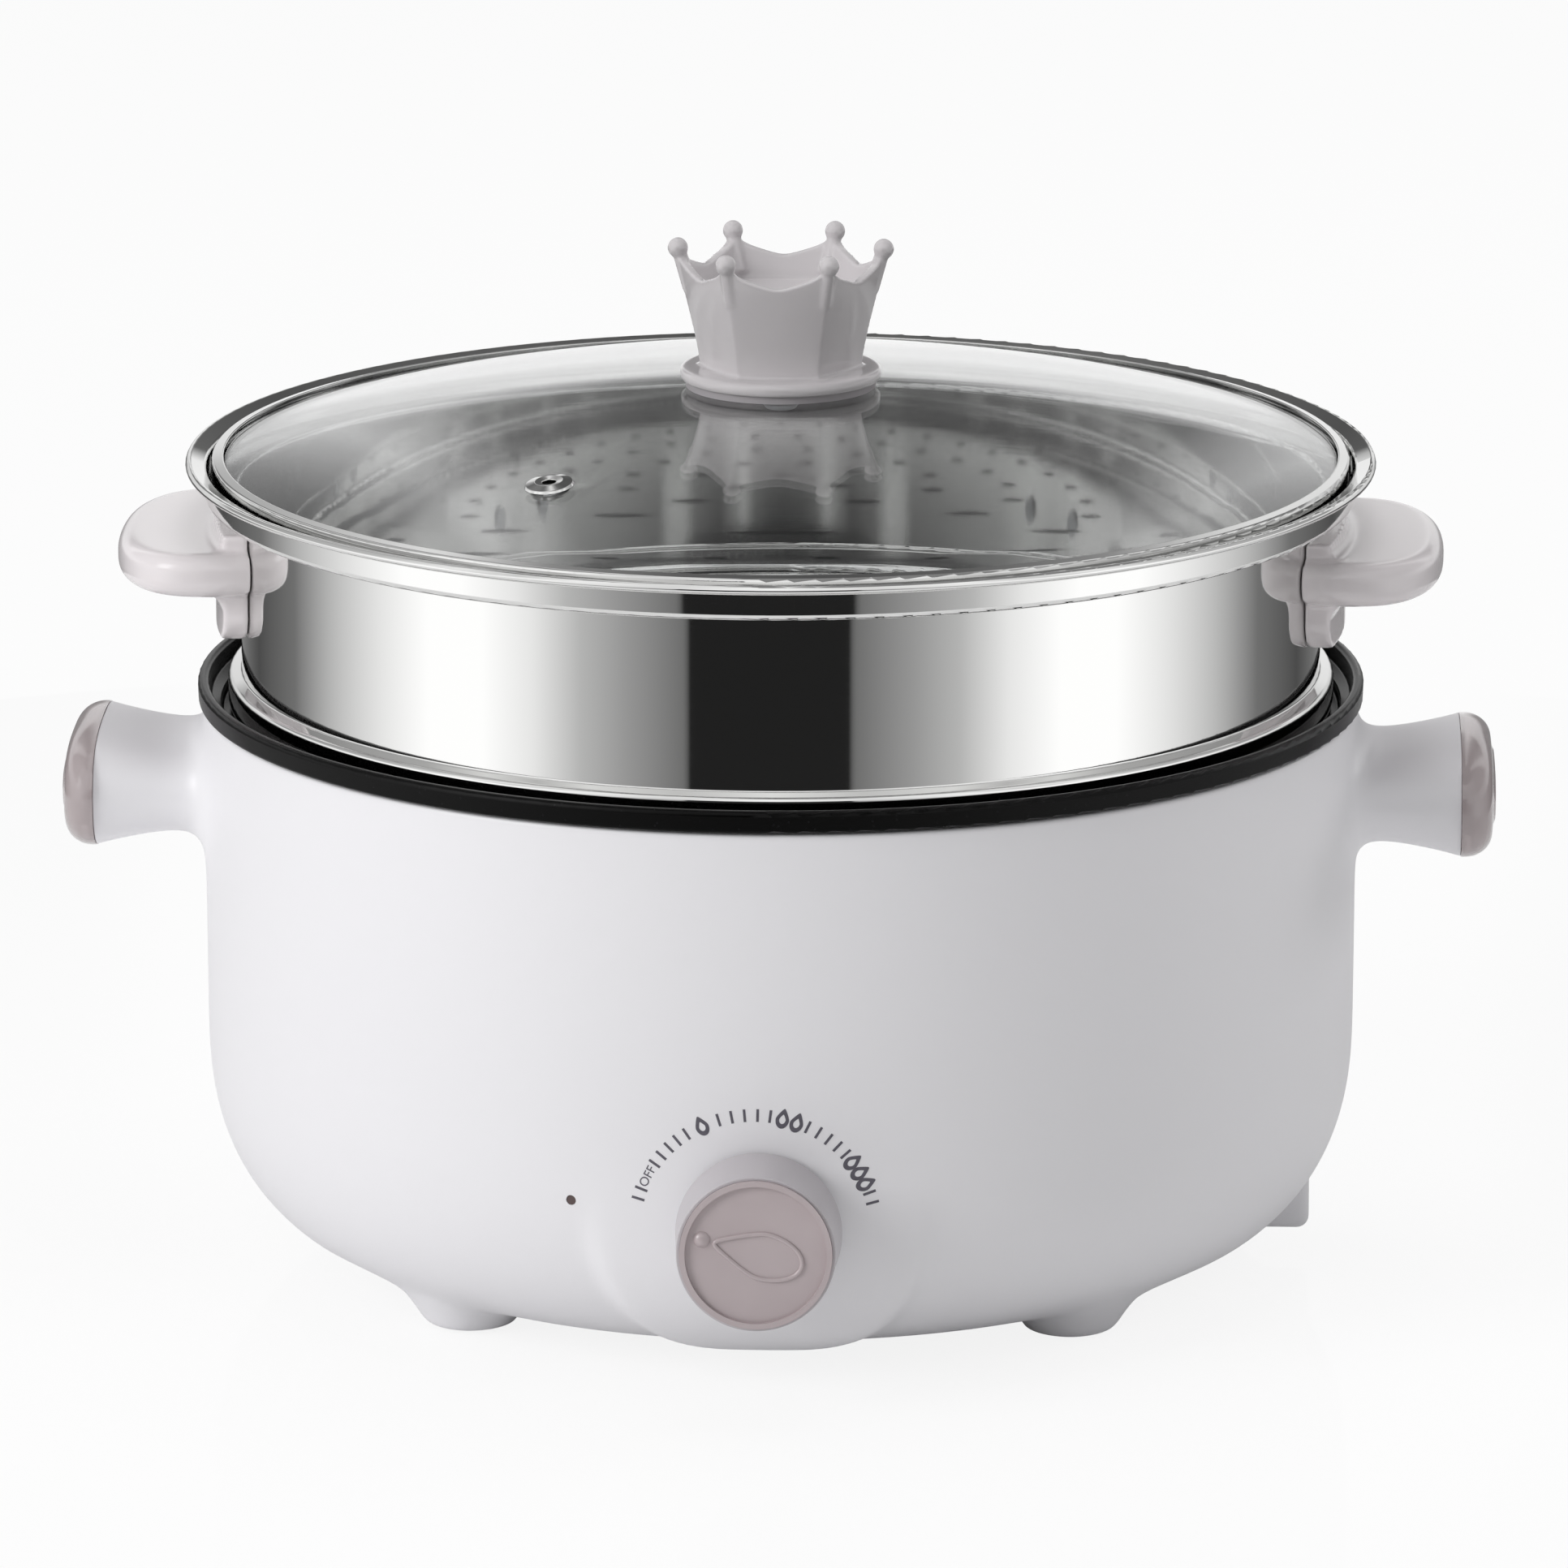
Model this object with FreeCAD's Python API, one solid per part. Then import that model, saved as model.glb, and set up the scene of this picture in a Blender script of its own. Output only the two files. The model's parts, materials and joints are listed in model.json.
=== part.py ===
import FreeCAD, Part
import math
import os

# An electric hot pot: a white shell with a black pot fixed in it, a steel steamer tier standing
# in the pot's mouth, and a domed glass lid in the tier's lip.
# Millimetres. The origin is on the floor under the pot's centre, +Z is up, the dial faces -Y.

V = FreeCAD.Vector
UP = V(0, 0, 1)
CENTRE = V(0, 0, 0)

# Shell
WALL = 2.6
SHELL_TOP_R = 141.9
SHELL_TOP_Z = 140.4
SHELL_WALL_R = 141.5
SHELL_WALL_Z = 59.6
SHELL_FLAT_R = 92.2
SHELL_FLAT_Z = 4.7
SHELL_POWER = 2.36
BOTTOM_OPENING_R = 86.0
COVER_FACE_Z = 2.4
COVER_WALL = 2.2

# Pad that carries the dial, on the shell's front
PAD_R = 40.0
PAD_POWER = 3.2
PAD_PLANE_Y = -141.6
PAD_FLAT_R = 18.5

# Dial, its axis level and pointing at the user
DIAL_Z = 43.4
DIAL_BACK_R = 19.8
DIAL_FRONT_R = 18.8
DIAL_BACK_Y = -142.1
DIAL_FRONT_Y = -160.6
DIAL_FACE_Y = -161.6
DIAL_RECESS_Y = -160.4
DIAL_RIM = 1.3
POINTER_ANGLE = 164.7
POINTER_REACH = 13.2
POINTER_R = 2.3
SHAFT_R = 3.0
SHAFT_FIT = 0.05
REGULATOR_SCREW_Z = 38.0

# Pilot lamp hole
PILOT_ANGLE = 18.6
PILOT_Z = 48.5
PILOT_R = 1.25
PILOT_SURFACE_R = 141.0

# Legs
LEG_RING_R = 102.8
LEG_FOOT_R = 10.8
LEG_TOP_R = 15.6
LEG_TOP_Z = 12.0
LEG_END_Z = 0.6
PAD_FOOT_R = 7.0
PAD_FOOT_TOP = 1.8

# Flared handles of the shell
HORN_Z = 119.0
HORN_START_X = 136.0
HORN_END_X = 167.0
CAP_END_X = 175.5
HORN_ROOT = (58.0, 21.0)
HORN_MID = (61.4, 23.4)
HORN_END = (67.4, 29.6)
HORN_WALL = 2.4
HORN_POWER = 2.7
HORN_POCKET_X = 146.0
CAP_STATIONS = (
    (160.0, 64.4, 26.6),
    (HORN_END_X, 67.4, 29.6),
    (170.4, 66.6, 29.0),
    (173.0, 62.0, 26.2),
    (174.6, 53.4, 21.2),
    (CAP_END_X, 40.0, 13.2),
)

# Appliance inlet, low on the right side
INLET_FACE_X = 131.0
INLET_HALF_Y = 17.0
INLET_BOTTOM_Z = 9.4
INLET_TOP_Z = 36.0
INLET_MOUTH_HALF_Y = 14.0
INLET_MOUTH_Z = (12.0, 32.0)
INLET_BACK_X = 110.0
BLADE_Z = 21.0
BLADE_PITCH = 7.0

# Pot
POT_WALL = 2.4
POT_RIM_R = 143.2
POT_RIM_Z = (140.7, 146.2)
POT_MOUTH_R = 140.5
POT_NECK_R = 137.4
POT_LEDGE_R = 134.0
POT_LEDGE_Z = 138.0
POT_OUTER_R = 136.2
POT_WALL_Z = 92.0
POT_FLAT_R = 92.0
POT_FLAT_Z = 38.0
TIE_RING_R = 45.0

# Steamer tier
SHEET = 0.8
TIER_FLOOR_Z = 139.0
BEAD_R = 135.7
BEAD_TOP_Z = 147.2
TIER_R = 132.4
SEAT_Z = 191.6
SEAT_R = 140.9
LIP_Z = 201.2
LIP_R = 145.8

# Tier handles
GRIP_HALF_Y = 40.5
GRIP_MIDDLE_X = 139.0
GRIP_REACH = 162.3
GRIP_POWER = 2.5
GRIP_Z = (172.0, 182.8)
GRIP_FILLET = 5.0
TAB_HALF_Y = 34.0
TAB_Z = (159.6, 186.6)
TAB_THICK = 6.0

# Lid
GLASS = 4.0
GLASS_R = 138.1
DOME_EDGE_Z = 200.1
DOME_TOP_Z = 218.5
RIM_BAND_R = 139.2
RIM_FOOT_Z = 192.9
VENT_X = -52.3
VENT_Y = -79.0
VENT_R = 6.0

# Crown knob
FLANGE_R = 24.7
FLANGE_Z = (219.8, 223.0)
KNOB_RADII = ((222.0, 19.7), (231.0, 21.2), (239.0, 23.1), (254.0, 26.2))
PANEL_RATIO = 0.915
CUP_FLOOR_Z = 240.5
CUP_WALL = 2.5
VALLEY_Z = 246.2
BALL_R = 2.55
BALL_RING_R = 25.1
BALL_Z = 252.0

os.makedirs("parts", exist_ok=True)


def save(name, shape):
    """Write one named piece."""
    shape.exportStep("parts/" + name + ".step")


def line(a, b):
    return Part.LineSegment(a, b).toShape()


def ring(x, z):
    """A point of a section in the XZ plane."""
    return V(x, 0, z)


def rounded_edges(points, radii, closed=False):
    """Straight runs through the points, with an arc of the given radius at each corner."""
    count = len(points)
    corners = range(count) if closed else range(1, count - 1)
    cuts = {}
    for i in corners:
        here = points[i]
        back = (points[i - 1] - here).normalize()
        ahead = (points[(i + 1) % count] - here).normalize()
        half = back.getAngle(ahead) / 2
        radius = radii[i]
        if radius <= 0 or half > math.pi / 2 - 1e-4:
            cuts[i] = (here, None, here)
            continue
        reach = radius / math.tan(half)
        start = here + back * reach
        end = here + ahead * reach
        inward = (back + ahead).normalize()
        middle = here + inward * (radius / math.sin(half) - radius)
        cuts[i] = (start, middle, end)
    edges = []
    order = list(range(count)) + ([0] if closed else [])
    for i in range(len(order) - 1):
        a = order[i]
        b = order[i + 1]
        leave = cuts[a][2] if a in cuts else points[a]
        arrive = cuts[b][0] if b in cuts else points[b]
        if (leave - arrive).Length > 1e-6:
            edges.append(line(leave, arrive))
        if b in cuts and cuts[b][1] is not None:
            edges.append(Part.Arc(cuts[b][0], cuts[b][1], cuts[b][2]).toShape())
    return edges


def outline(points, radii=None):
    """A closed section with rounded corners, as a face."""
    radii = radii or [0] * len(points)
    edges = rounded_edges(points, radii, closed=True)
    return Part.Face(Part.Wire(Part.__sortEdges__(edges)))


def spin(face):
    """A solid of revolution about the pot's axis."""
    return solid(face.revolve(CENTRE, UP, 360))


def solid(shape):
    """The single solid of a shape, with its faces turned outward."""
    result = shape.Solids[0] if shape.Solids else Part.Solid(shape.Shells[0])
    if result.Volume < 0:
        result.reverse()
    return result


def turned(pairs, radii=None):
    """A turned piece from its (radius, height) corners."""
    return spin(outline([ring(r, z) for r, z in pairs], radii))


def sheet_band(path, bends, thick):
    """A turned sheet-metal section: a centre line with bends, given a thickness."""
    points = [ring(r, z) for r, z in path]
    sides = []
    for side in (1, -1):
        moved = []
        radii = []
        for i, here in enumerate(points):
            before = (here - points[i - 1]).normalize() if i else None
            after = (points[i + 1] - here).normalize() if i < len(points) - 1 else None
            first = before or after
            last = after or before
            normal_a = V(-first.z, 0, first.x)
            normal_b = V(-last.z, 0, last.x)
            mean = (normal_a + normal_b).normalize()
            reach = side * thick / 2 / mean.dot(normal_a)
            moved.append(here + mean * reach)
            turn = first.x * last.z - first.z * last.x
            bend = bends[i] - math.copysign(thick / 2, turn) * side if bends[i] else 0
            radii.append(max(bend, 0.05) if bends[i] else 0)
        sides.append((moved, radii))
    corners = sides[0][0] + sides[1][0][::-1]
    radii = sides[0][1] + sides[1][1][::-1]
    return spin(outline(corners, radii))


def corner_curve(wall_r, flat_r, wall_z, flat_z, power, count=10):
    """The rounded foot of a vessel, a superellipse from the wall to the flat."""
    points = []
    for i in range(count + 1):
        angle = math.pi / 2 * i / count
        r = flat_r + (wall_r - flat_r) * math.cos(angle) ** (2 / power)
        z = wall_z - (wall_z - flat_z) * math.sin(angle) ** (2 / power)
        points.append(ring(r, z))
    curve = Part.BSplineCurve()
    curve.interpolate(Points=points, InitialTangent=V(0, 0, -1), FinalTangent=V(-1, 0, 0))
    return curve.toShape()


def vessel(top_r, top_z, wall_r, wall_z, flat_r, flat_z, power):
    """A filled vessel form: near-straight wall, rounded foot, flat bottom."""
    edges = [
        line(ring(0, top_z), ring(top_r, top_z)),
        line(ring(top_r, top_z), ring(wall_r, wall_z)),
        corner_curve(wall_r, flat_r, wall_z, flat_z, power),
        line(ring(flat_r, flat_z), ring(0, flat_z)),
        line(ring(0, flat_z), ring(0, top_z)),
    ]
    return spin(Part.Face(Part.Wire(edges)))


def drum(radius, low, high, x=0.0, y=0.0):
    """An upright cylinder between two heights."""
    return Part.makeCylinder(radius, high - low, V(x, y, low))


def block(low, high):
    """A box from its lowest to its highest corner."""
    size = V(*high) - V(*low)
    return Part.makeBox(size.x, size.y, size.z, V(*low))


def rod(radius, start, end):
    """A round rod between two points."""
    along = V(*end) - V(*start)
    return Part.makeCylinder(radius, along.Length, V(*start), along)


def joined(shapes):
    """One solid from shapes that overlap."""
    return shapes[0].fuse(shapes[1:]).removeSplitter()


def around(shape, angle):
    """A copy turned about the pot's axis, in degrees."""
    copy = shape.copy()
    copy.rotate(CENTRE, UP, angle)
    return copy


def tube(points, radius, bends):
    """A round bar along straight runs and bends."""
    edges = rounded_edges([V(*p) for p in points], bends)
    path = Part.Wire(edges)
    start = V(*points[0])
    ahead = (V(*points[1]) - start).normalize()
    section = Part.Wire(Part.makeCircle(radius, start, ahead))
    return solid(path.makePipeShell([section], True, False))


def oval_wire(x, width, height, power=HORN_POWER, count=24):
    """A closed rounded section of a handle, square to X."""
    points = []
    for i in range(count):
        angle = 2 * math.pi * i / count
        c = math.cos(angle)
        s = math.sin(angle)
        y = width / 2 * math.copysign(abs(c) ** (2 / power), c)
        z = height / 2 * math.copysign(abs(s) ** (2 / power), s)
        points.append(V(x, y, HORN_Z + z))
    curve = Part.BSplineCurve()
    curve.interpolate(Points=points, PeriodicFlag=True)
    return Part.Wire(curve.toShape())


def horn_form(inset=0.0, reach=CAP_END_X + 2.0):
    """The flared handle on the right, filled, from inside the shell out past its cap."""
    grow = (reach - HORN_END_X) / (HORN_END_X - 152.0)
    past = [HORN_END[i] + (HORN_END[i] - HORN_MID[i]) * grow * 0.25 for i in range(2)]
    stations = [
        (HORN_START_X, HORN_ROOT),
        (152.0, HORN_MID),
        (HORN_END_X, HORN_END),
        (reach, past),
    ]
    wires = [oval_wire(x, w - 2 * inset, h - 2 * inset) for x, (w, h) in stations]
    return solid(Part.makeLoft(wires, True, False))


def dial_pad():
    """The fuller part of the shell behind the dial, with its flat round seat."""
    fuller = vessel(SHELL_WALL_R + 0.05, 70.0, SHELL_WALL_R, SHELL_WALL_Z, SHELL_FLAT_R, SHELL_FLAT_Z, PAD_POWER)
    barrel = rod(PAD_R, (0, -150, DIAL_Z), (0, -90, DIAL_Z))
    seat = rod(PAD_FLAT_R, (0, PAD_PLANE_Y, DIAL_Z), (0, -120, DIAL_Z))
    return fuller.common(barrel).fuse(seat)


def leg():
    """One leg of the shell, tapered, with a rounded foot and a recess for its pad."""
    profile = outline(
        [ring(0, LEG_END_Z), ring(LEG_FOOT_R, LEG_END_Z), ring(LEG_TOP_R, LEG_TOP_Z), ring(0, LEG_TOP_Z)],
        [0, 2.6, 0, 0],
    )
    form = spin(profile)
    form.translate(V(LEG_RING_R, 0, 0))
    return form


def outer_shell():
    """White shell with its flared handles, legs, dial pad and inlet boss."""
    body = vessel(SHELL_TOP_R, SHELL_TOP_Z, SHELL_WALL_R, SHELL_WALL_Z, SHELL_FLAT_R, SHELL_FLAT_Z, SHELL_POWER)
    horn = horn_form().common(block((100, -60, 60), (HORN_END_X, 60, 180)))
    boss = block((100, -INLET_HALF_Y, INLET_BOTTOM_Z), (INLET_FACE_X, INLET_HALF_Y, INLET_TOP_Z))
    boss = boss.makeFillet(3.0, [e for e in boss.Edges if abs(e.BoundBox.XLength - 31.0) < 0.01])
    extras = [dial_pad(), horn, around(horn, 180), boss]
    extras += [around(leg(), angle) for angle in (45, 135, 225, 315)]
    shell = body.fuse(extras)
    inside_r = SHELL_WALL_R - WALL
    cavity = vessel(
        SHELL_TOP_R - WALL, SHELL_TOP_Z + 1, inside_r, SHELL_WALL_Z, SHELL_FLAT_R, SHELL_FLAT_Z + WALL, SHELL_POWER
    )
    pad_hollow = vessel(
        SHELL_TOP_R - WALL, 66.0, inside_r, SHELL_WALL_Z, SHELL_FLAT_R, SHELL_FLAT_Z + WALL, PAD_POWER
    ).common(rod(PAD_R - WALL, (0, -150, DIAL_Z), (0, -90, DIAL_Z)))
    pocket_near = horn_form(HORN_WALL).common(block((HORN_POCKET_X, -60, 80), (180, 60, 150)))
    mouth = block(
        (100, -INLET_MOUTH_HALF_Y, INLET_MOUTH_Z[0]), (150, INLET_MOUTH_HALF_Y, INLET_MOUTH_Z[1])
    )
    pilot = rod(PILOT_R, (0, -130, PILOT_Z), (0, -150, PILOT_Z))
    cuts = [
        cavity,
        pad_hollow,
        pocket_near,
        around(pocket_near, 180),
        mouth,
        drum(BOTTOM_OPENING_R, 0, 12),
        rod(5.0, (0, -150, DIAL_Z), (0, -120, DIAL_Z)),
        around(pilot, -PILOT_ANGLE),
    ]
    cuts += [around(drum(PAD_FOOT_R + 0.1, -1, PAD_FOOT_TOP, LEG_RING_R), a) for a in (45, 135, 225, 315)]
    return solid(shell.cut(cuts).removeSplitter())


def handle_cap():
    """The domed plug of the right handle, with its spigot inside the hollow end."""
    wires = [oval_wire(x, width, height) for x, width, height in CAP_STATIONS]
    dome = solid(Part.makeLoft(wires, True, False))
    body = dome.cut(block((100, -60, 60), (HORN_END_X + 0.05, 60, 180)))
    spigot = horn_form(HORN_WALL + 0.1).common(block((161.5, -60, 80), (HORN_END_X + 1.0, 60, 150)))
    hollow = horn_form(HORN_WALL + 2.1).common(block((160.5, -60, 80), (HORN_END_X + 1.2, 60, 150)))
    return solid(joined([body, spigot]).cut(hollow))


def inner_pot():
    """Black pot: rim bead on the shell's edge, neck, ledge for the tier, rounded foot, three bosses."""
    low, high = POT_RIM_Z
    inner_r = POT_OUTER_R - POT_WALL
    foot = corner_curve(POT_OUTER_R, POT_FLAT_R, POT_WALL_Z, POT_FLAT_Z, SHELL_POWER)
    inner_foot = corner_curve(inner_r, POT_FLAT_R, POT_WALL_Z, POT_FLAT_Z + POT_WALL, SHELL_POWER)
    head = [
        ring(POT_OUTER_R, POT_WALL_Z),
        ring(POT_OUTER_R, POT_LEDGE_Z - 2.6),
        ring(POT_NECK_R + 1.5, POT_LEDGE_Z - 0.6),
        ring(POT_NECK_R + 1.5, low),
        ring(POT_RIM_R - 0.2, low),
        ring(POT_RIM_R, high),
        ring(POT_MOUTH_R, high),
        ring(POT_MOUTH_R - 0.6, low + 1.0),
        ring(POT_NECK_R, low - 0.4),
        ring(POT_NECK_R - 0.2, POT_LEDGE_Z),
        ring(POT_LEDGE_R, POT_LEDGE_Z),
        ring(inner_r, POT_WALL_Z),
    ]
    radii = [0, 1.0, 0, 0, 0.9, 1.25, 1.2, 0.8, 0.6, 0.6, 1.2, 0]
    edges = rounded_edges(head, radii)
    edges += [
        foot,
        line(ring(POT_FLAT_R, POT_FLAT_Z), ring(0, POT_FLAT_Z)),
        line(ring(0, POT_FLAT_Z), ring(0, POT_FLAT_Z + POT_WALL)),
        line(ring(0, POT_FLAT_Z + POT_WALL), ring(POT_FLAT_R, POT_FLAT_Z + POT_WALL)),
        inner_foot,
    ]
    pot = spin(Part.Face(Part.Wire(Part.__sortEdges__(edges))))
    boss = drum(5.5, 28.0, POT_FLAT_Z + 0.5, TIE_RING_R)
    hole = drum(2.1, 27.0, POT_FLAT_Z - 1.0, TIE_RING_R)
    angles = (30, 150, 270)
    pot = pot.fuse([around(boss, a) for a in angles])
    return solid(pot.cut([around(hole, a) for a in angles]).removeSplitter())


def heating_element():
    """Tubular heater: an open ring under the pot, its two ends bent down."""
    radius = 4.0
    ring_r = 78.0
    level = POT_FLAT_Z - radius - 0.1
    gap = 14.0
    start = math.radians(gap)
    arc_start = V(ring_r * math.cos(start), ring_r * math.sin(start), level)
    arc_end = V(ring_r * math.cos(start), -ring_r * math.sin(start), level)
    arc = Part.Arc(arc_start, V(-ring_r, 0, level), arc_end).toShape()
    path = Part.Wire([arc])
    tangent = V(-math.sin(start), math.cos(start), 0)
    section = Part.Wire(Part.makeCircle(radius, arc_start, tangent))
    loop = solid(path.makePipeShell([section], True, False))
    ends = []
    for point in (arc_start, arc_end):
        ends.append(Part.makeSphere(radius, point))
        ends.append(drum(radius, 28.5, level, point.x, point.y))
    return solid(loop.fuse(ends).removeSplitter())


def element_terminals():
    """Ceramic collars and steel tags at the heater's two ends."""
    ring_r = 78.0
    angle = math.radians(14.0)
    pieces = []
    for side in (1, -1):
        x = ring_r * math.cos(angle)
        y = side * ring_r * math.sin(angle)
        collar = drum(3.4, 25.6, 28.5, x, y)
        tag = block((x - 0.4, y - 3.1, 17.0), (x + 0.4, y + 3.1, 25.9))
        pieces.append(solid(joined([collar, tag])))
    return Part.makeCompound(pieces)


def heat_shield():
    """Steel dish under the heater, clamped between the pot's bosses and the cover's posts."""
    path = [(8.0, 26.6), (96.0, 26.6), (112.0, 33.0), (118.0, 40.0)]
    dish = sheet_band(path, [0, 6.0, 6.0, 0], 0.6)
    holes = [around(drum(2.4, 20, 32, TIE_RING_R), a) for a in (30, 150, 270)]
    angle = math.degrees(0.2443)
    holes += [around(drum(6.0, 20, 32, 78.0), a) for a in (angle, -angle)]
    holes.append(block((-18, -125, 20), (18, -84, 48)))
    holes.append(block((84, -20, 20), (125, 20, 48)))
    return solid(dish.cut(holes))


def thermal_cutoff():
    """One-shot fuse lying against the pot's bottom."""
    return rod(2.0, (-20, 20, POT_FLAT_Z - 2.2), (-8, 20, POT_FLAT_Z - 2.2))


def cutoff_clip():
    """Steel strap over the fuse."""
    low = POT_FLAT_Z - 5.2
    top = POT_FLAT_Z - 0.1
    strap = block((-17, 12, low), (-11, 28, top))
    gap = rod(2.1, (-18, 20, POT_FLAT_Z - 2.2), (-10, 20, POT_FLAT_Z - 2.2))
    sides = [
        block((-18, 11, low - 1), (-10, 16.6, top - 0.8)),
        block((-18, 23.4, low - 1), (-10, 29, top - 0.8)),
        block((-18, 17.8, POT_FLAT_Z - 2.2), (-10, 22.2, top + 1)),
    ]
    return solid(strap.cut([gap] + sides))


def regulator_body():
    """Dial thermostat behind the shell's pad, with the bore of its shaft."""
    case = block((-14, -136.6, 34.6), (14, -127.4, 52.4))
    neck = rod(4.6, (0, -139.6, DIAL_Z), (0, -130, DIAL_Z))
    bore = rod(SHAFT_R + SHAFT_FIT, (0, -142, DIAL_Z), (0, -129.4, DIAL_Z))
    return solid(joined([case, neck]).cut([bore] + screw_ways()))


def screw_ways():
    """The holes of the thermostat's two screws."""
    return [rod(1.45, (x, -128.7, REGULATOR_SCREW_Z), (x, -126.0, REGULATOR_SCREW_Z)) for x in (-9.0, 9.0)]


def regulator_bracket():
    """Steel angle that carries the thermostat from the heat shield."""
    plate = block((-13, -127.3, 25.2), (13, -126.3, 46.0))
    foot = block((-13, -127.3, 25.2), (13, -72.0, 26.2))
    return solid(joined([plate, foot]).cut(screw_ways()))


def regulator_screws():
    """Two screws through the bracket into the thermostat."""
    screws = []
    for x in (-9.0, 9.0):
        head = rod(2.8, (x, -126.2, REGULATOR_SCREW_Z), (x, -124.4, REGULATOR_SCREW_Z))
        shank = rod(1.4, (x, -128.6, REGULATOR_SCREW_Z), (x, -126.0, REGULATOR_SCREW_Z))
        screws.append(solid(joined([head, shank])))
    return Part.makeCompound(screws)


def regulator_shaft():
    """Steel shaft from the thermostat into the dial, with its flat."""
    shaft = rod(SHAFT_R, (0, -156.0, DIAL_Z), (0, -129.8, DIAL_Z))
    flat = block((-4, -157, DIAL_Z + 2.0), (4, -146, DIAL_Z + 4))
    return solid(shaft.cut(flat))


def pilot_lens():
    """Small lens set just inside its hole."""
    lens = rod(PILOT_R - 0.05, (0, -PILOT_SURFACE_R + 0.5, PILOT_Z), (0, -137.4, PILOT_Z))
    return around(lens, -PILOT_ANGLE)


def pilot_lamp():
    """Neon lamp behind the lens."""
    bulb = rod(2.2, (0, -137.3, PILOT_Z), (0, -130.6, PILOT_Z))
    return around(bulb, -PILOT_ANGLE)


def inlet_socket():
    """Black appliance inlet, open to the right."""
    low, high = INLET_MOUTH_Z
    body = block((INLET_BACK_X, -13.9, low + 0.1), (INLET_FACE_X - 0.3, 13.9, high - 0.1))
    body = body.makeFillet(1.5, [e for e in body.Edges if abs(e.BoundBox.XLength - 20.7) < 0.01])
    well = block((INLET_BACK_X + 3.0, -12.0, low + 1.9), (INLET_FACE_X + 1, 12.0, high - 1.9))
    well = well.makeFillet(2.5, [e for e in well.Edges if abs(e.BoundBox.XLength - 19.0) < 0.01])
    slots = [blade(y, 0.0) for y in (-BLADE_PITCH, 0, BLADE_PITCH)]
    return solid(body.cut([well] + slots))


def blade(y, trim):
    """One flat blade, through the inlet's back wall."""
    return block((INLET_BACK_X - 7.0, y - 1.0 + trim, BLADE_Z - 2.0), (126.0, y + 1.0 - trim, BLADE_Z + 2.0))


def inlet_pins():
    """The three blades of the inlet."""
    return Part.makeCompound([blade(y, 0.0) for y in (-BLADE_PITCH, 0, BLADE_PITCH)])


def wiring():
    """Inner leads: inlet to heater, inlet to thermostat, thermostat to heater."""
    leads = [
        ([(103, 7, 21), (88, 7, 21), (76, 14, 15)], [0, 8, 0]),
        ([(103, -7, 21), (92, -7, 21), (88, -60, 16), (40, -104, 16), (12, -122, 19), (9, -131, 27),
          (9, -131, 34.4)], [0, 4, 14, 14, 6, 4, 0]),
        ([(-9, -131, 34.4), (-9, -131, 27), (-4, -120, 19), (20, -84, 14), (62, -40, 14), (76, -22, 16)],
         [0, 4, 6, 14, 14, 0]),
    ]
    return Part.makeCompound([tube(points, 1.1, bends) for points, bends in leads])


def bottom_cover():
    """Vented disc under the shell, with three posts for the tie screws."""
    disc = turned(
        [
            (0, COVER_FACE_Z),
            (89.6, COVER_FACE_Z),
            (89.6, 4.6),
            (85.7, 4.6),
            (85.7, 7.4),
            (83.4, 7.4),
            (83.4, COVER_FACE_Z + COVER_WALL),
            (0, COVER_FACE_Z + COVER_WALL),
        ],
        [0, 1.0, 0, 0, 0.6, 0, 0, 0],
    )
    posts = [around(drum(5.2, 4.0, 26.2, TIE_RING_R), a) for a in (30, 150, 270)]
    cover = disc.fuse(posts)
    holes = [around(drum(2.2, 2, 30, TIE_RING_R), a) for a in (30, 150, 270)]
    holes += [around(drum(4.2, 2, 7.0, TIE_RING_R), a) for a in (30, 150, 270)]
    slot = block((20, -1.5, 2), (34, 1.5, 8)).fuse([drum(1.5, 2, 8, 20), drum(1.5, 2, 8, 34)]).removeSplitter()
    holes += [around(slot, 20 * k + 10) for k in range(18)]
    outer_slot = block((58, -1.5, 2), (76, 1.5, 8)).fuse([drum(1.5, 2, 8, 58), drum(1.5, 2, 8, 76)]).removeSplitter()
    holes += [around(outer_slot, 12 * k + 6) for k in range(30)]
    return solid(cover.cut(holes))


def tie_screws():
    """Three long screws that pull the cover up and the pot down onto the shell's edge."""
    shank = drum(1.9, 6.8, 35.5, TIE_RING_R)
    head = drum(3.9, 4.6, 6.95, TIE_RING_R)
    slot = block((TIE_RING_R - 5, -0.5, 4.0), (TIE_RING_R + 5, 0.5, 5.7))
    screw = solid(joined([shank, head]).cut(slot))
    return Part.makeCompound([around(screw, a) for a in (30, 150, 270)])


def foot_pad(angle):
    """Rubber pad in a leg's recess, standing on the floor."""
    pad = turned([(0, 0), (PAD_FOOT_R, 0), (PAD_FOOT_R, PAD_FOOT_TOP), (0, PAD_FOOT_TOP)], [0, 0.4, 0, 0])
    pad.translate(V(LEG_RING_R, 0, 0))
    return around(pad, angle)


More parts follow.
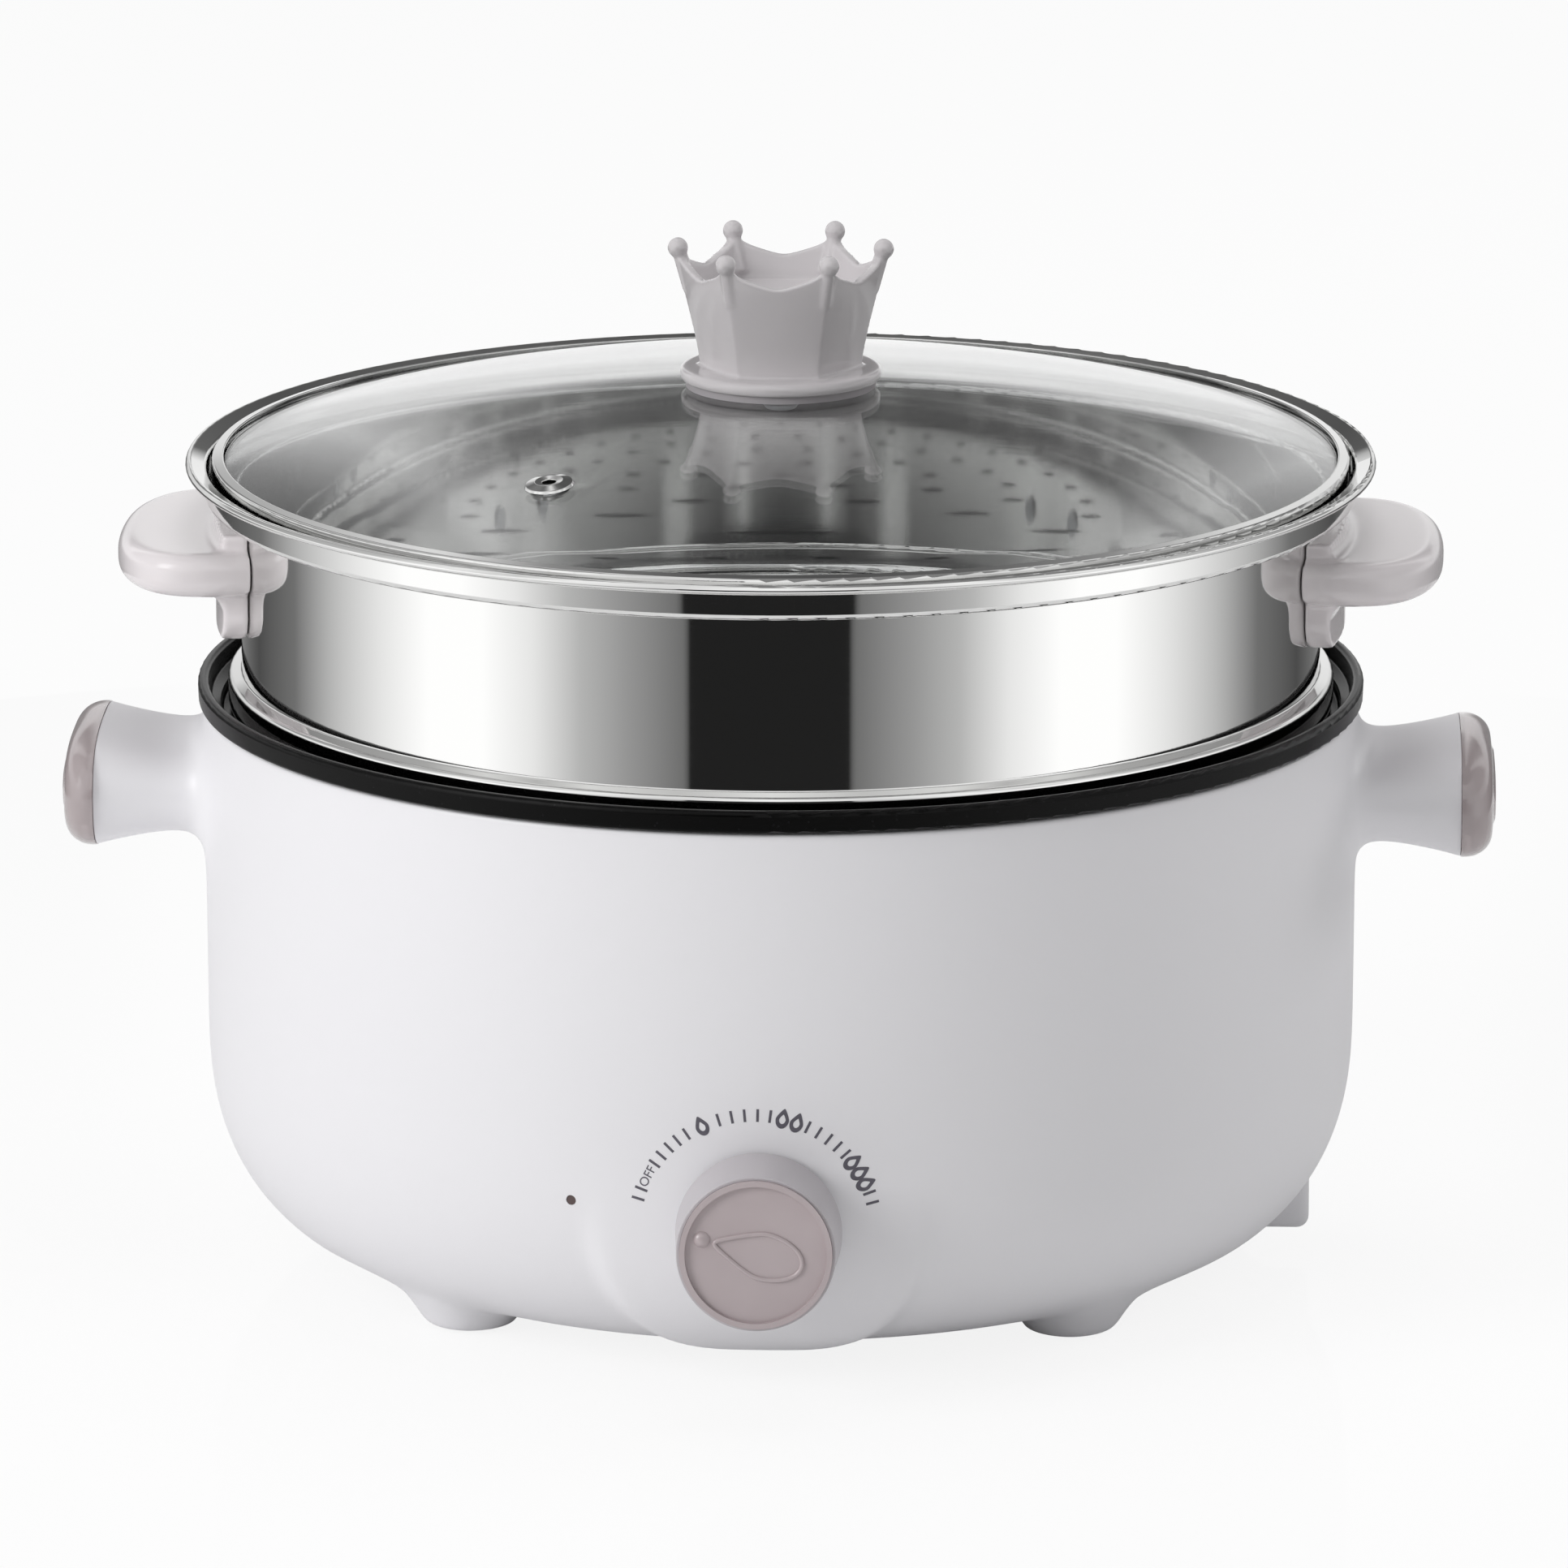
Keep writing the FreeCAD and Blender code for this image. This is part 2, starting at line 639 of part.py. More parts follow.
def dial_knob():
    """White body of the dial, slightly tapered, with the bore of its shaft."""
    profile = [
        ring(0, 0),
        ring(DIAL_BACK_R, 0),
        ring(DIAL_FRONT_R, DIAL_BACK_Y - DIAL_FRONT_Y),
        ring(0, DIAL_BACK_Y - DIAL_FRONT_Y),
    ]
    form = spin(outline(profile, [0, 0.5, 0.3, 0]))
    form.rotate(CENTRE, V(1, 0, 0), 90)
    form.translate(V(0, DIAL_BACK_Y, DIAL_Z))
    recess = rod(DIAL_FRONT_R - 0.7, (0, DIAL_FRONT_Y - 1, DIAL_Z), (0, DIAL_FRONT_Y + 1.6, DIAL_Z))
    core = rod(16.2, (0, DIAL_BACK_Y + 1, DIAL_Z), (0, -156.0, DIAL_Z))
    hub = rod(6.0, (0, -143.6, DIAL_Z), (0, -158.0, DIAL_Z))
    shaft = rod(SHAFT_R, (0, -140, DIAL_Z), (0, -156.0, DIAL_Z))
    flat = block((-4, -157, DIAL_Z + 2.0), (4, -146, DIAL_Z + 4))
    hollow = core.cut(hub)
    return solid(form.cut([recess, hollow, shaft.cut(flat)]).removeSplitter())


def dial_face():
    """Tinted inlay of the dial: raised ring, recessed face and a raised pointer dome."""
    edge_r = DIAL_FRONT_R - 0.75
    disc = rod(edge_r, (0, DIAL_FACE_Y, DIAL_Z), (0, DIAL_FRONT_Y + 1.5, DIAL_Z))
    well = rod(edge_r - DIAL_RIM, (0, DIAL_FACE_Y - 1, DIAL_Z), (0, DIAL_RECESS_Y, DIAL_Z))
    angle = math.radians(POINTER_ANGLE)
    sink = POINTER_R - (DIAL_RECESS_Y - DIAL_FACE_Y)
    tip = V(POINTER_REACH * math.cos(angle), DIAL_RECESS_Y + sink, DIAL_Z + POINTER_REACH * math.sin(angle))
    dome = Part.makeSphere(POINTER_R, tip).common(block((-25, -165, 0), (25, DIAL_RECESS_Y + 0.4, 90)))
    return solid(joined([disc.cut(well), dome]))


def steamer_basket():
    """Drawn steel tier: perforated floor, bottom bead, wall, seat for the lid and rolled lip."""
    path = [
        (0.0, TIER_FLOOR_Z),
        (BEAD_R - 0.4, TIER_FLOOR_Z),
        (BEAD_R - 0.4, BEAD_TOP_Z),
        (TIER_R - 0.4, BEAD_TOP_Z + 0.9),
        (TIER_R - 0.4, SEAT_Z),
        (SEAT_R - 0.4, SEAT_Z + 0.4),
        (SEAT_R - 0.2, LIP_Z - 2.2),
        (LIP_R - 1.1, LIP_Z - 0.5),
        (LIP_R - 0.4, LIP_Z - 1.6),
        (LIP_R - 1.6, LIP_Z - 2.2),
    ]
    bends = [0, 2.6, 1.0, 0.9, 0.9, 1.1, 0.9, 0.5, 0.45, 0]
    wall = sheet_band(path, bends, SHEET)
    holes = []
    for row in range(1, 7):
        for k in range(6 * row):
            hole = drum(2.4, TIER_FLOOR_Z - 3, TIER_FLOOR_Z + 3, 19.0 * row)
            holes.append(around(hole, 60.0 * k / row + 8.0 * row))
    holes.append(drum(2.4, TIER_FLOOR_Z - 3, TIER_FLOOR_Z + 3))
    for side in (0, 180):
        for y in (-18.0, 18.0):
            holes.append(around(rod(2.1, (125, y, 167.0), (140, y, 167.0)), side))
    return solid(wall.cut(Part.makeCompound(holes)))


def grip_plate():
    """The rounded plate to hold, soft at its edges."""
    low, high = GRIP_Z
    points = []
    for i in range(32):
        angle = 2 * math.pi * (i + 0.5) / 32
        c = math.cos(angle)
        s = math.sin(angle)
        x = GRIP_MIDDLE_X + (GRIP_REACH - GRIP_MIDDLE_X) * math.copysign(abs(c) ** (2 / GRIP_POWER), c)
        points.append(V(x, GRIP_HALF_Y * math.copysign(abs(s) ** (2 / GRIP_POWER), s), low))
    curve = Part.BSplineCurve()
    curve.interpolate(Points=points, PeriodicFlag=True)
    plate = Part.Face(Part.Wire(curve.toShape())).extrude(V(0, 0, high - low))
    return plate.makeFillet(4.2, [e for e in plate.Edges if e.BoundBox.ZLength < 0.01])


def grip_fillet(radius, level, side):
    """The hollow fillet between the tab and the plate, above (side 1) or below (side -1)."""
    tab_r = TIER_R + 0.1 + TAB_THICK
    tube_r = tab_r + radius - 0.05
    away = level + side * (radius - 0.05)
    wedge = turned([
        (tab_r - 1, away),
        (tube_r, away),
        (tube_r, level - side),
        (tab_r - 1, level - side),
    ])
    wedge = solid(wedge.cut(Part.makeTorus(tube_r, radius, V(0, 0, away))))
    return solid(wedge.common(block((100, -TAB_HALF_Y + 0.6, 150), (160, TAB_HALF_Y - 0.6, 190))))


def steamer_handle():
    """Moulded handle on the right: a tab on the wall and a rounded plate to hold."""
    low, high = GRIP_Z
    tab = block((118, -TAB_HALF_Y, TAB_Z[0]), (140, TAB_HALF_Y, TAB_Z[1]))
    tab = tab.makeFillet(7.0, [e for e in tab.Edges if e.BoundBox.ZMax < TAB_Z[0] + 0.1
                               and e.BoundBox.YLength < 0.1])
    tab = tab.common(drum(TIER_R + 0.1 + TAB_THICK, 100, 200))
    handle = grip_plate().fuse(tab)
    for fillet in (grip_fillet(GRIP_FILLET, low, -1), grip_fillet(3.0, high, 1)):
        handle = handle.fuse(fillet)
    handle = handle.cut(drum(TIER_R + 0.1, 100, 200))
    pilots = [rod(1.5, (125, y, 167.0), (136.8, y, 167.0)) for y in (-18.0, 18.0)]
    return solid(handle.cut(pilots))


def steamer_screws():
    """Four screws from inside the tier into its handles, heads inside."""
    screws = []
    for side in (0, 180):
        for y in (-18.0, 18.0):
            inside = math.sqrt((TIER_R - SHEET) ** 2 - y * y) - 0.6
            head = rod(3.6, (inside - 1.6, y, 167.0), (inside, y, 167.0))
            shank = rod(1.45, (inside - 0.2, y, 167.0), (136.4, y, 167.0))
            screws.append(around(solid(joined([head, shank])), side))
    return Part.makeCompound(screws)


def dome_radius():
    """Radius of the lid's outer sphere, from its rise over its edge."""
    rise = DOME_TOP_Z - DOME_EDGE_Z
    return (GLASS_R ** 2 + rise ** 2) / (2 * rise)


def lid_glass():
    """Tempered dome with the holes of its knob screw and vent."""
    outer_r = dome_radius()
    heart = V(0, 0, DOME_TOP_Z - outer_r)
    dome = Part.makeSphere(outer_r, heart).cut(Part.makeSphere(outer_r - GLASS, heart))
    glass = dome.common(drum(GLASS_R, DOME_EDGE_Z - GLASS - 1.0, DOME_TOP_Z + 1))
    vent = Part.makeCylinder(2.9, 30, V(0, 0, -15))
    return solid(glass.cut([drum(3.0, 200, 230), on_dome(vent)]))


def on_dome(shape):
    """Place a shape, made about the origin, on the glass where the vent is."""
    outer_r = dome_radius()
    normal = V(VENT_X, VENT_Y, math.sqrt(outer_r ** 2 - VENT_X ** 2 - VENT_Y ** 2)).normalize()
    middle = V(0, 0, DOME_TOP_Z - outer_r) + normal * (outer_r - GLASS / 2)
    moved = shape.copy()
    moved.Placement = FreeCAD.Placement(middle, FreeCAD.Rotation(UP, normal))
    return moved


def lid_rim():
    """Steel band round the glass: a lip over its edge and a skirt that sits in the tier."""
    edge_top = DOME_EDGE_Z + 0.2
    skirt = [
        (136.3, edge_top + 1.5),
        (136.3, edge_top + 0.75),
        (GLASS_R + 0.1, edge_top + 0.3),
        (GLASS_R + 0.1, DOME_EDGE_Z - GLASS - 0.6),
        (135.6, DOME_EDGE_Z - GLASS - 0.2),
        (135.6, DOME_EDGE_Z - GLASS - 0.9),
        (GLASS_R - 0.2, DOME_EDGE_Z - GLASS - 1.5),
        (GLASS_R + 0.1, RIM_FOOT_Z),
        (RIM_BAND_R, RIM_FOOT_Z),
        (RIM_BAND_R, edge_top + 0.9),
    ]
    return turned(skirt, [0.3, 0, 0, 0, 0, 0, 0, 0, 0.5, 0.8])


def vent_eyelet():
    """Steel eyelet of the steam vent, flanged above and below the glass."""
    top = GLASS / 2 + 0.08
    profile = [
        ring(1.7, -top - 0.9),
        ring(4.6, -top - 0.9),
        ring(4.6, -top),
        ring(2.7, -top),
        ring(2.7, top),
        ring(VENT_R, top),
        ring(VENT_R - 0.3, top + 0.6),
        ring(3.4, top + 1.2),
        ring(1.7, top + 0.9),
    ]
    return on_dome(spin(outline(profile, [0, 0.3, 0, 0, 0, 0, 0.2, 0.4, 0.3])))


def knob_gasket():
    """Silicone washer between the knob and the dome."""
    washer = drum(23.2, DOME_TOP_Z - 1.2, FLANGE_Z[0] - 0.02).cut(drum(4.0, 200, 230))
    outer_r = dome_radius()
    return solid(washer.cut(Part.makeSphere(outer_r + 0.02, V(0, 0, DOME_TOP_Z - outer_r))))


def lower_gasket():
    """Thin washer under the glass."""
    low = DOME_TOP_Z - GLASS - 1.3
    return turned([(3.0, low), (9.0, low), (9.0, low + 1.2), (3.0, low + 1.2)])


def knob_washer():
    """Steel washer under the glass."""
    low = DOME_TOP_Z - GLASS - 2.4
    return turned([(2.6, low), (9.6, low), (9.6, low + 1.0), (2.6, low + 1.0)], [0, 0.3, 0, 0])


def knob_screw():
    """Screw from under the lid into the knob."""
    low = DOME_TOP_Z - GLASS - 2.5
    head = turned([(0, low - 2.4), (4.4, low - 2.4), (4.4, low), (0, low)], [0, 1.6, 0, 0])
    slot = block((-5, -0.6, low - 3), (5, 0.6, low - 1.3))
    shank = drum(2.4, low - 0.2, 234.0)
    return solid(joined([head, shank]).cut(slot))


def crown_wire(z, radius, ratio):
    """Six shallow panels meeting in six ridges, at one height."""
    edges = []
    for k in range(6):
        ends = []
        for step in (0, 1):
            angle = math.radians(60 * (k + step))
            ends.append(V(radius * math.cos(angle), radius * math.sin(angle), z))
        angle = math.radians(60 * k + 30)
        middle = V(radius * ratio * math.cos(angle), radius * ratio * math.sin(angle), z)
        edges.append(Part.Arc(ends[0], middle, ends[1]).toShape())
    return Part.Wire(edges)


def crown_form(inset):
    """The flared six-panel body, drawn in by an inset."""
    wires = [crown_wire(z, r - inset, PANEL_RATIO) for z, r in KNOB_RADII]
    return solid(Part.makeLoft(wires, True, False))


def panel_notch(k):
    """What is cut from above one panel, so that its edge sags between two points."""
    half = BALL_RING_R * math.sin(math.radians(30)) - 0.6
    points = [
        V(5, -half, BALL_Z - 1.2),
        V(5, -half * 0.72, BALL_Z - 3.4),
        V(5, -half * 0.36, VALLEY_Z + 0.9),
        V(5, 0, VALLEY_Z),
        V(5, half * 0.36, VALLEY_Z + 0.9),
        V(5, half * 0.72, BALL_Z - 3.4),
        V(5, half, BALL_Z - 1.2),
    ]
    sag = Part.BSplineCurve()
    sag.interpolate(Points=points)
    top = BALL_Z + 6
    edges = [
        sag.toShape(),
        line(points[-1], V(5, half, top)),
        line(V(5, half, top), V(5, -half, top)),
        line(V(5, -half, top), points[0]),
    ]
    notch = Part.Face(Part.Wire(edges)).extrude(V(30, 0, 0))
    return around(notch, 60 * k + 30)


def lid_knob():
    """Crown-shaped knob on a round flange: a shallow cup with six points that end in balls."""
    flange = turned(
        [(0, FLANGE_Z[0]), (FLANGE_R, FLANGE_Z[0]), (FLANGE_R, FLANGE_Z[1]), (0, FLANGE_Z[1])],
        [0, 1.0, 1.4, 0],
    )
    body = crown_form(0.0)
    top_cut = drum(40, BALL_Z + 0.4, 270)
    cup = crown_form(CUP_WALL).common(drum(40, CUP_FLOOR_Z, 270))
    body = body.cut([cup, top_cut] + [panel_notch(k) for k in range(6)])
    points = []
    for k in range(6):
        angle = math.radians(60 * k)
        reach = V(math.cos(angle), math.sin(angle), 0)
        head = reach * BALL_RING_R + V(0, 0, BALL_Z)
        root = reach * (BALL_RING_R - 3.2) + V(0, 0, CUP_FLOOR_Z + 1.5)
        stem = head - root
        points.append(Part.makeSphere(BALL_R, head))
        points.append(Part.makeCone(2.1, 1.7, stem.Length, root, stem))
    knob = flange.fuse([body] + points)
    hollow = turned([(7.0, 219.0), (14.5, 219.0), (15.5, 236.5), (7.0, 236.5)])
    bore = drum(2.45, 219.0, 235.0)
    return solid(knob.cut([hollow, bore]).removeSplitter())


def build():
    """Every piece by its name."""
    cap = handle_cap()
    grip = steamer_handle()
    return {
        "outer_shell": outer_shell(),
        "handle_cap_right": cap,
        "handle_cap_left": around(cap, 180),
        "inner_pot": inner_pot(),
        "heating_element": heating_element(),
        "element_terminals": element_terminals(),
        "heat_shield": heat_shield(),
        "thermal_cutoff": thermal_cutoff(),
        "cutoff_clip": cutoff_clip(),
        "regulator_body": regulator_body(),
        "regulator_bracket": regulator_bracket(),
        "regulator_screws": regulator_screws(),
        "regulator_shaft": regulator_shaft(),
        "pilot_lamp": pilot_lamp(),
        "pilot_lens": pilot_lens(),
        "inlet_socket": inlet_socket(),
        "inlet_pins": inlet_pins(),
        "wiring": wiring(),
        "bottom_cover": bottom_cover(),
        "tie_screws": tie_screws(),
        "foot_pad_back_right": foot_pad(45),
        "foot_pad_back_left": foot_pad(135),
        "foot_pad_front_left": foot_pad(225),
        "foot_pad_front_right": foot_pad(315),
        "dial_knob": dial_knob(),
        "dial_face": dial_face(),
        "steamer_basket": steamer_basket(),
        "steamer_handle_right": grip,
        "steamer_handle_left": around(grip, 180),
        "steamer_screws": steamer_screws(),
        "lid_glass": lid_glass(),
        "lid_rim": lid_rim(),
        "vent_eyelet": vent_eyelet(),
        "lid_knob": lid_knob(),
        "knob_gasket": knob_gasket(),
        "lower_gasket": lower_gasket(),
        "knob_washer": knob_washer(),
        "knob_screw": knob_screw(),
    }


pieces = build()
for name, shape in pieces.items():
    save(name, shape)
    box = shape.BoundBox
    print(f"{name}: volume {shape.Volume:.0f}, solids {len(shape.Solids)}, valid {shape.isValid()},",
          f"z {box.ZMin:.1f} to {box.ZMax:.1f}")
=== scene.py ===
import bmesh
import bpy
import json
import math
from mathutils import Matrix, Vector

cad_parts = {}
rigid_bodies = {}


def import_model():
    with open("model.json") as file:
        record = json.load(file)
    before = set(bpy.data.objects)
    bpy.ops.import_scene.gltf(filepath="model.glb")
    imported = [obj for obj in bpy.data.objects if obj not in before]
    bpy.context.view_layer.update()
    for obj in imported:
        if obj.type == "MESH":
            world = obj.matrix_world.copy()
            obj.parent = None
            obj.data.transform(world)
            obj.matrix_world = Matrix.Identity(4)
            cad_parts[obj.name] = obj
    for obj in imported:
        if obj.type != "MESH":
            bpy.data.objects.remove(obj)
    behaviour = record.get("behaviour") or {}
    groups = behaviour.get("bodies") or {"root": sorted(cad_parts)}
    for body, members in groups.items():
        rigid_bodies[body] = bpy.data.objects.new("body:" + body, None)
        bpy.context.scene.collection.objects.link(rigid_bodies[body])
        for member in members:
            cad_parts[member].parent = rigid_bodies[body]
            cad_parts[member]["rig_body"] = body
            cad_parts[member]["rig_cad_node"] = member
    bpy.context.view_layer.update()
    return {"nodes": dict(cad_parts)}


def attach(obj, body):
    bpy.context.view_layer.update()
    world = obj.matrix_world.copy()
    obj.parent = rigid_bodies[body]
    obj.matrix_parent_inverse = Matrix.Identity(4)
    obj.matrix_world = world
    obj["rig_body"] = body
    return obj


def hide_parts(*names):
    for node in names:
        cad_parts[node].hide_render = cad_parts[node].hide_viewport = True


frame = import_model()
nodes = frame["nodes"]

MM = 0.001

# Sizes of the object, in millimetres, the same as in the part's source
SHELL_TOP_R = 141.9
SHELL_TOP_Z = 140.4
SHELL_WALL_R = 141.5
SHELL_WALL_Z = 59.6
SHELL_FLAT_R = 92.2
SHELL_FLAT_Z = 4.7
SHELL_POWER = 2.36
SHELL_OPENING_R = 86.0
SHELL_THICK = 2.6
PAD_POWER = 3.2
PAD_SEAT_R = 18.5
PAD_SEAT_Y = (-141.6, -136.5)
DIAL_Z = 43.4
DIAL_RECESS_Y = -160.4
LEG_RING_R = 102.8
LEG_END_Z = 0.6
PILOT_ANGLE = 18.6
PILOT_Z = 48.5
PILOT_R = 1.25
PILOT_DRILL = (150.0, 132.0)
HORN_Z = 119.0
HORN_END_X = 167.0
HORN_POWER = 2.7
INLET_X = (104.0, 131.0)
INLET_HALF_Y = 17.0
INLET_Z = (9.4, 36.0)
INLET_EDGE_R = 3.0
INLET_MOUTH_X = (107.5, 150.0)
INLET_MOUTH_HALF_Y = 14.0
INLET_MOUTH_Z = (12.0, 32.0)
INLET_MOUTH_EDGE_R = 1.2

# Print round the dial: its centre and radius, and what stands at each angle
PRINT_CENTRE_X = -1.0
PRINT_R = 28.6
PRINT_MARKS = (
    ("tick", 165.7), ("tick", 160.6), ("off", 153.6),
    ("tick", 146.2), ("tick", 140.9), ("tick", 135.4), ("tick", 130.0), ("tick", 124.4),
    ("drop", 116.0),
    ("tick", 107.4), ("tick", 101.0), ("tick", 94.8), ("tick", 88.6), ("tick", 82.6),
    ("drop", 76.6), ("drop", 69.6),
    ("tick", 64.0), ("tick", 58.2), ("tick", 52.4), ("tick", 46.8), ("tick", 41.4),
    ("drop", 36.2), ("drop", 29.8), ("drop", 23.6),
    ("tick", 18.8), ("tick", 13.6),
)
TICK_LONG = 3.1
TICK_WIDE = 0.62
DROP_LONG = 4.4
DROP_WIDE = 3.2
DROP_HOLE = 0.48
DROP_DOWN = 0.25
OFF_TALL = 3.1
OFF_IN = 0.2
PRINT_PLANE_Y = -170.0
PRINT_THICK = 0.12

# Raised drop on the dial's face
POINTER_ANGLE = 164.7
POINTER_LONG = 19.0
POINTER_WIDE = 11.0
POINTER_BEAD_R = 0.55
POINTER_DOWN = 0.6
POINTER_PROUD = 0.1


def linear(colour):
    """The linear value of an sRGB hex colour, as a shader wants it."""
    values = []
    for start in (0, 2, 4):
        part = int(colour[start:start + 2], 16) / 255
        values.append(part / 12.92 if part <= 0.04045 else ((part + 0.055) / 1.055) ** 2.4)
    return (*values, 1.0)


def add(tree, kind, inputs=None, **settings):
    """A shader node with its settings; an input is a value or the output that feeds it."""
    made = tree.nodes.new(kind)
    for key, value in settings.items():
        setattr(made, key, value)
    for key, value in (inputs or {}).items():
        if isinstance(value, bpy.types.NodeSocket):
            tree.links.new(value, made.inputs[key])
        else:
            made.inputs[key].default_value = value
    return made


def new_material(name):
    """An empty material and its node tree."""
    made = bpy.data.materials.new(name)
    made.use_nodes = True
    made.node_tree.nodes.clear()
    return made, made.node_tree


def close(tree, shader):
    """Lead the last shader to the material's output."""
    add(tree, "ShaderNodeOutputMaterial", {"Surface": shader.outputs[0]})


def grain(tree, size, depth, stretch=(1, 1, 1), detail=2.0):
    """Soft cells about size millimetres across, and the bump, depth millimetres high, that they give."""
    place = add(tree, "ShaderNodeTexCoord")
    laid = add(tree, "ShaderNodeMapping", {"Vector": place.outputs["Object"], "Scale": stretch})
    cells = add(tree, "ShaderNodeTexNoise",
                {"Vector": laid.outputs["Vector"], "Scale": 0.6 / (size * MM), "Detail": detail})
    bump = add(tree, "ShaderNodeBump",
               {"Height": cells.outputs["Fac"], "Strength": 1.0, "Distance": depth * MM})
    return cells, bump


def satin_polypropylene():
    """Injection-moulded white polypropylene: a soft broad sheen over a very fine moulded texture."""
    made, tree = new_material("satin_polypropylene")
    cells, bump = grain(tree, 1.1, 0.0035)
    gloss = add(tree, "ShaderNodeMapRange",
                {"Value": cells.outputs["Fac"], "To Min": 0.36, "To Max": 0.44})
    skin = add(tree, "ShaderNodeBsdfPrincipled", {
        "Base Color": linear("EFEEF1"),
        "Roughness": gloss.outputs["Result"],
        "IOR": 1.49,
        "Normal": bump.outputs["Normal"],
    })
    close(tree, skin)
    return made


def tinted_polycarbonate(name, colour, roughness, clear):
    """Polished tinted polycarbonate: deep gloss, and light that soaks a little way into it."""
    made, tree = new_material(name)
    _, bump = grain(tree, 6.0, 0.01)
    skin = add(tree, "ShaderNodeBsdfPrincipled", {
        "Base Color": linear(colour),
        "Roughness": roughness,
        "IOR": 1.585,
        "Transmission Weight": clear,
        "Coat Weight": 0.3,
        "Coat Roughness": 0.04,
        "Normal": bump.outputs["Normal"],
    })
    close(tree, skin)
    return made


def dial_polycarbonate():
    """Satin tinted polycarbonate of the dial's inlay, with a faint swirl of flow under its skin."""
    made, tree = new_material("dial_polycarbonate")
    cells, bump = grain(tree, 9.0, 0.012)
    tone = add(tree, "ShaderNodeMix", {
        0: cells.outputs["Fac"],
        "A": linear("B5A8AA"),
        "B": linear("C2B6B8"),
    }, data_type="RGBA")
    skin = add(tree, "ShaderNodeBsdfPrincipled", {
        "Base Color": tone.outputs["Result"],
        "Roughness": 0.24,
        "IOR": 1.585,
        "Normal": bump.outputs["Normal"],
    })
    close(tree, skin)
    return made


def polished_steel():
    """Polished 18/8 stainless sheet: mirror bright, with hair-fine lines round it from the buffing wheel."""
    made, tree = new_material("polished_stainless_steel")
    cells, bump = grain(tree, 22.0, 0.0012, (1, 1, 90))
    gloss = add(tree, "ShaderNodeMapRange",
                {"Value": cells.outputs["Fac"], "To Min": 0.03, "To Max": 0.06})
    skin = add(tree, "ShaderNodeBsdfPrincipled", {
        "Base Color": linear("E3E3E2"),
        "Metallic": 1.0,
        "Roughness": gloss.outputs["Result"],
        "Normal": bump.outputs["Normal"],
    })
    close(tree, skin)
    return made


def rim_steel():
    """Bright drawn stainless band round the lid, with almost no grain."""
    made, tree = new_material("bright_stainless_band")
    _, bump = grain(tree, 30.0, 0.001, (1, 1, 30))
    skin = add(tree, "ShaderNodeBsdfPrincipled", {
        "Base Color": linear("DDDDDC"),
        "Metallic": 1.0,
        "Roughness": 0.09,
        "Normal": bump.outputs["Normal"],
    })
    close(tree, skin)
    return made


def zinc_steel():
    """Zinc-plated steel of the screws and inner sheet: dull silver with a cloudy bloom."""
    made, tree = new_material("zinc_plated_steel")
    cells, bump = grain(tree, 5.0, 0.004)
    tone = add(tree, "ShaderNodeMix", {
        0: cells.outputs["Fac"],
        "A": linear("A9ADB1"),
        "B": linear("C6C8CA"),
    }, data_type="RGBA")
    skin = add(tree, "ShaderNodeBsdfPrincipled", {
        "Base Color": tone.outputs["Result"],
        "Metallic": 1.0,
        "Roughness": 0.34,
        "Normal": bump.outputs["Normal"],
    })
    close(tree, skin)
    return made


def heater_steel():
    """Heat-blued stainless sheath of the heater: brown-grey, uneven oxide."""
    made, tree = new_material("oxidised_heater_sheath")
    cells, bump = grain(tree, 14.0, 0.004)
    tone = add(tree, "ShaderNodeMix", {
        0: cells.outputs["Fac"],
        "A": linear("5F564F"),
        "B": linear("86786B"),
    }, data_type="RGBA")
    skin = add(tree, "ShaderNodeBsdfPrincipled", {
        "Base Color": tone.outputs["Result"],
        "Metallic": 1.0,
        "Roughness": 0.45,
        "Normal": bump.outputs["Normal"],
    })
    close(tree, skin)
    return made


def nonstick_coating():
    """Black PTFE coating sprayed on cast aluminium: satin, with a fine speckle and pebble."""
    made, tree = new_material("black_nonstick_coating")
    _, bump = grain(tree, 0.9, 0.012)
    place = add(tree, "ShaderNodeTexCoord")
    fleck = add(tree, "ShaderNodeTexVoronoi", {"Vector": place.outputs["Object"], "Scale": 520.0})
    dots = add(tree, "ShaderNodeMapRange", {
        "Value": fleck.outputs["Distance"], "From Min": 0.10, "From Max": 0.16, "To Min": 0.8, "To Max": 0.0,
    })
    tone = add(tree, "ShaderNodeMix", {
        0: dots.outputs["Result"],
        "A": linear("010101"),
        "B": linear("151517"),
    }, data_type="RGBA")
    skin = add(tree, "ShaderNodeBsdfPrincipled", {
        "Base Color": tone.outputs["Result"],
        "Roughness": 0.27,
        "IOR": 1.30,
        "Specular IOR Level": 0.3,
        "Normal": bump.outputs["Normal"],
    })
    close(tree, skin)
    return made


def clear_glass():
    """Clear tempered soda-lime glass, pressed to a dome, with the faint waviness of the press."""
    made, tree = new_material("tempered_glass")
    _, bump = grain(tree, 38.0, 0.02, detail=1.0)
    skin = add(tree, "ShaderNodeBsdfPrincipled", {
        "Base Color": linear("FBFCFC"),
        "Roughness": 0.0,
        "IOR": 1.52,
        "Transmission Weight": 1.0,
        "Normal": bump.outputs["Normal"],
    })
    close(tree, skin)
    return made


def silicone_rubber(name, colour):
    """Moulded silicone or rubber: matt, soft highlights, a dusty fine skin."""
    made, tree = new_material(name)
    _, bump = grain(tree, 0.7, 0.01)
    skin = add(tree, "ShaderNodeBsdfPrincipled", {
        "Base Color": linear(colour),
        "Roughness": 0.62,
        "IOR": 1.41,
        "Normal": bump.outputs["Normal"],
    })
    close(tree, skin)
    return made


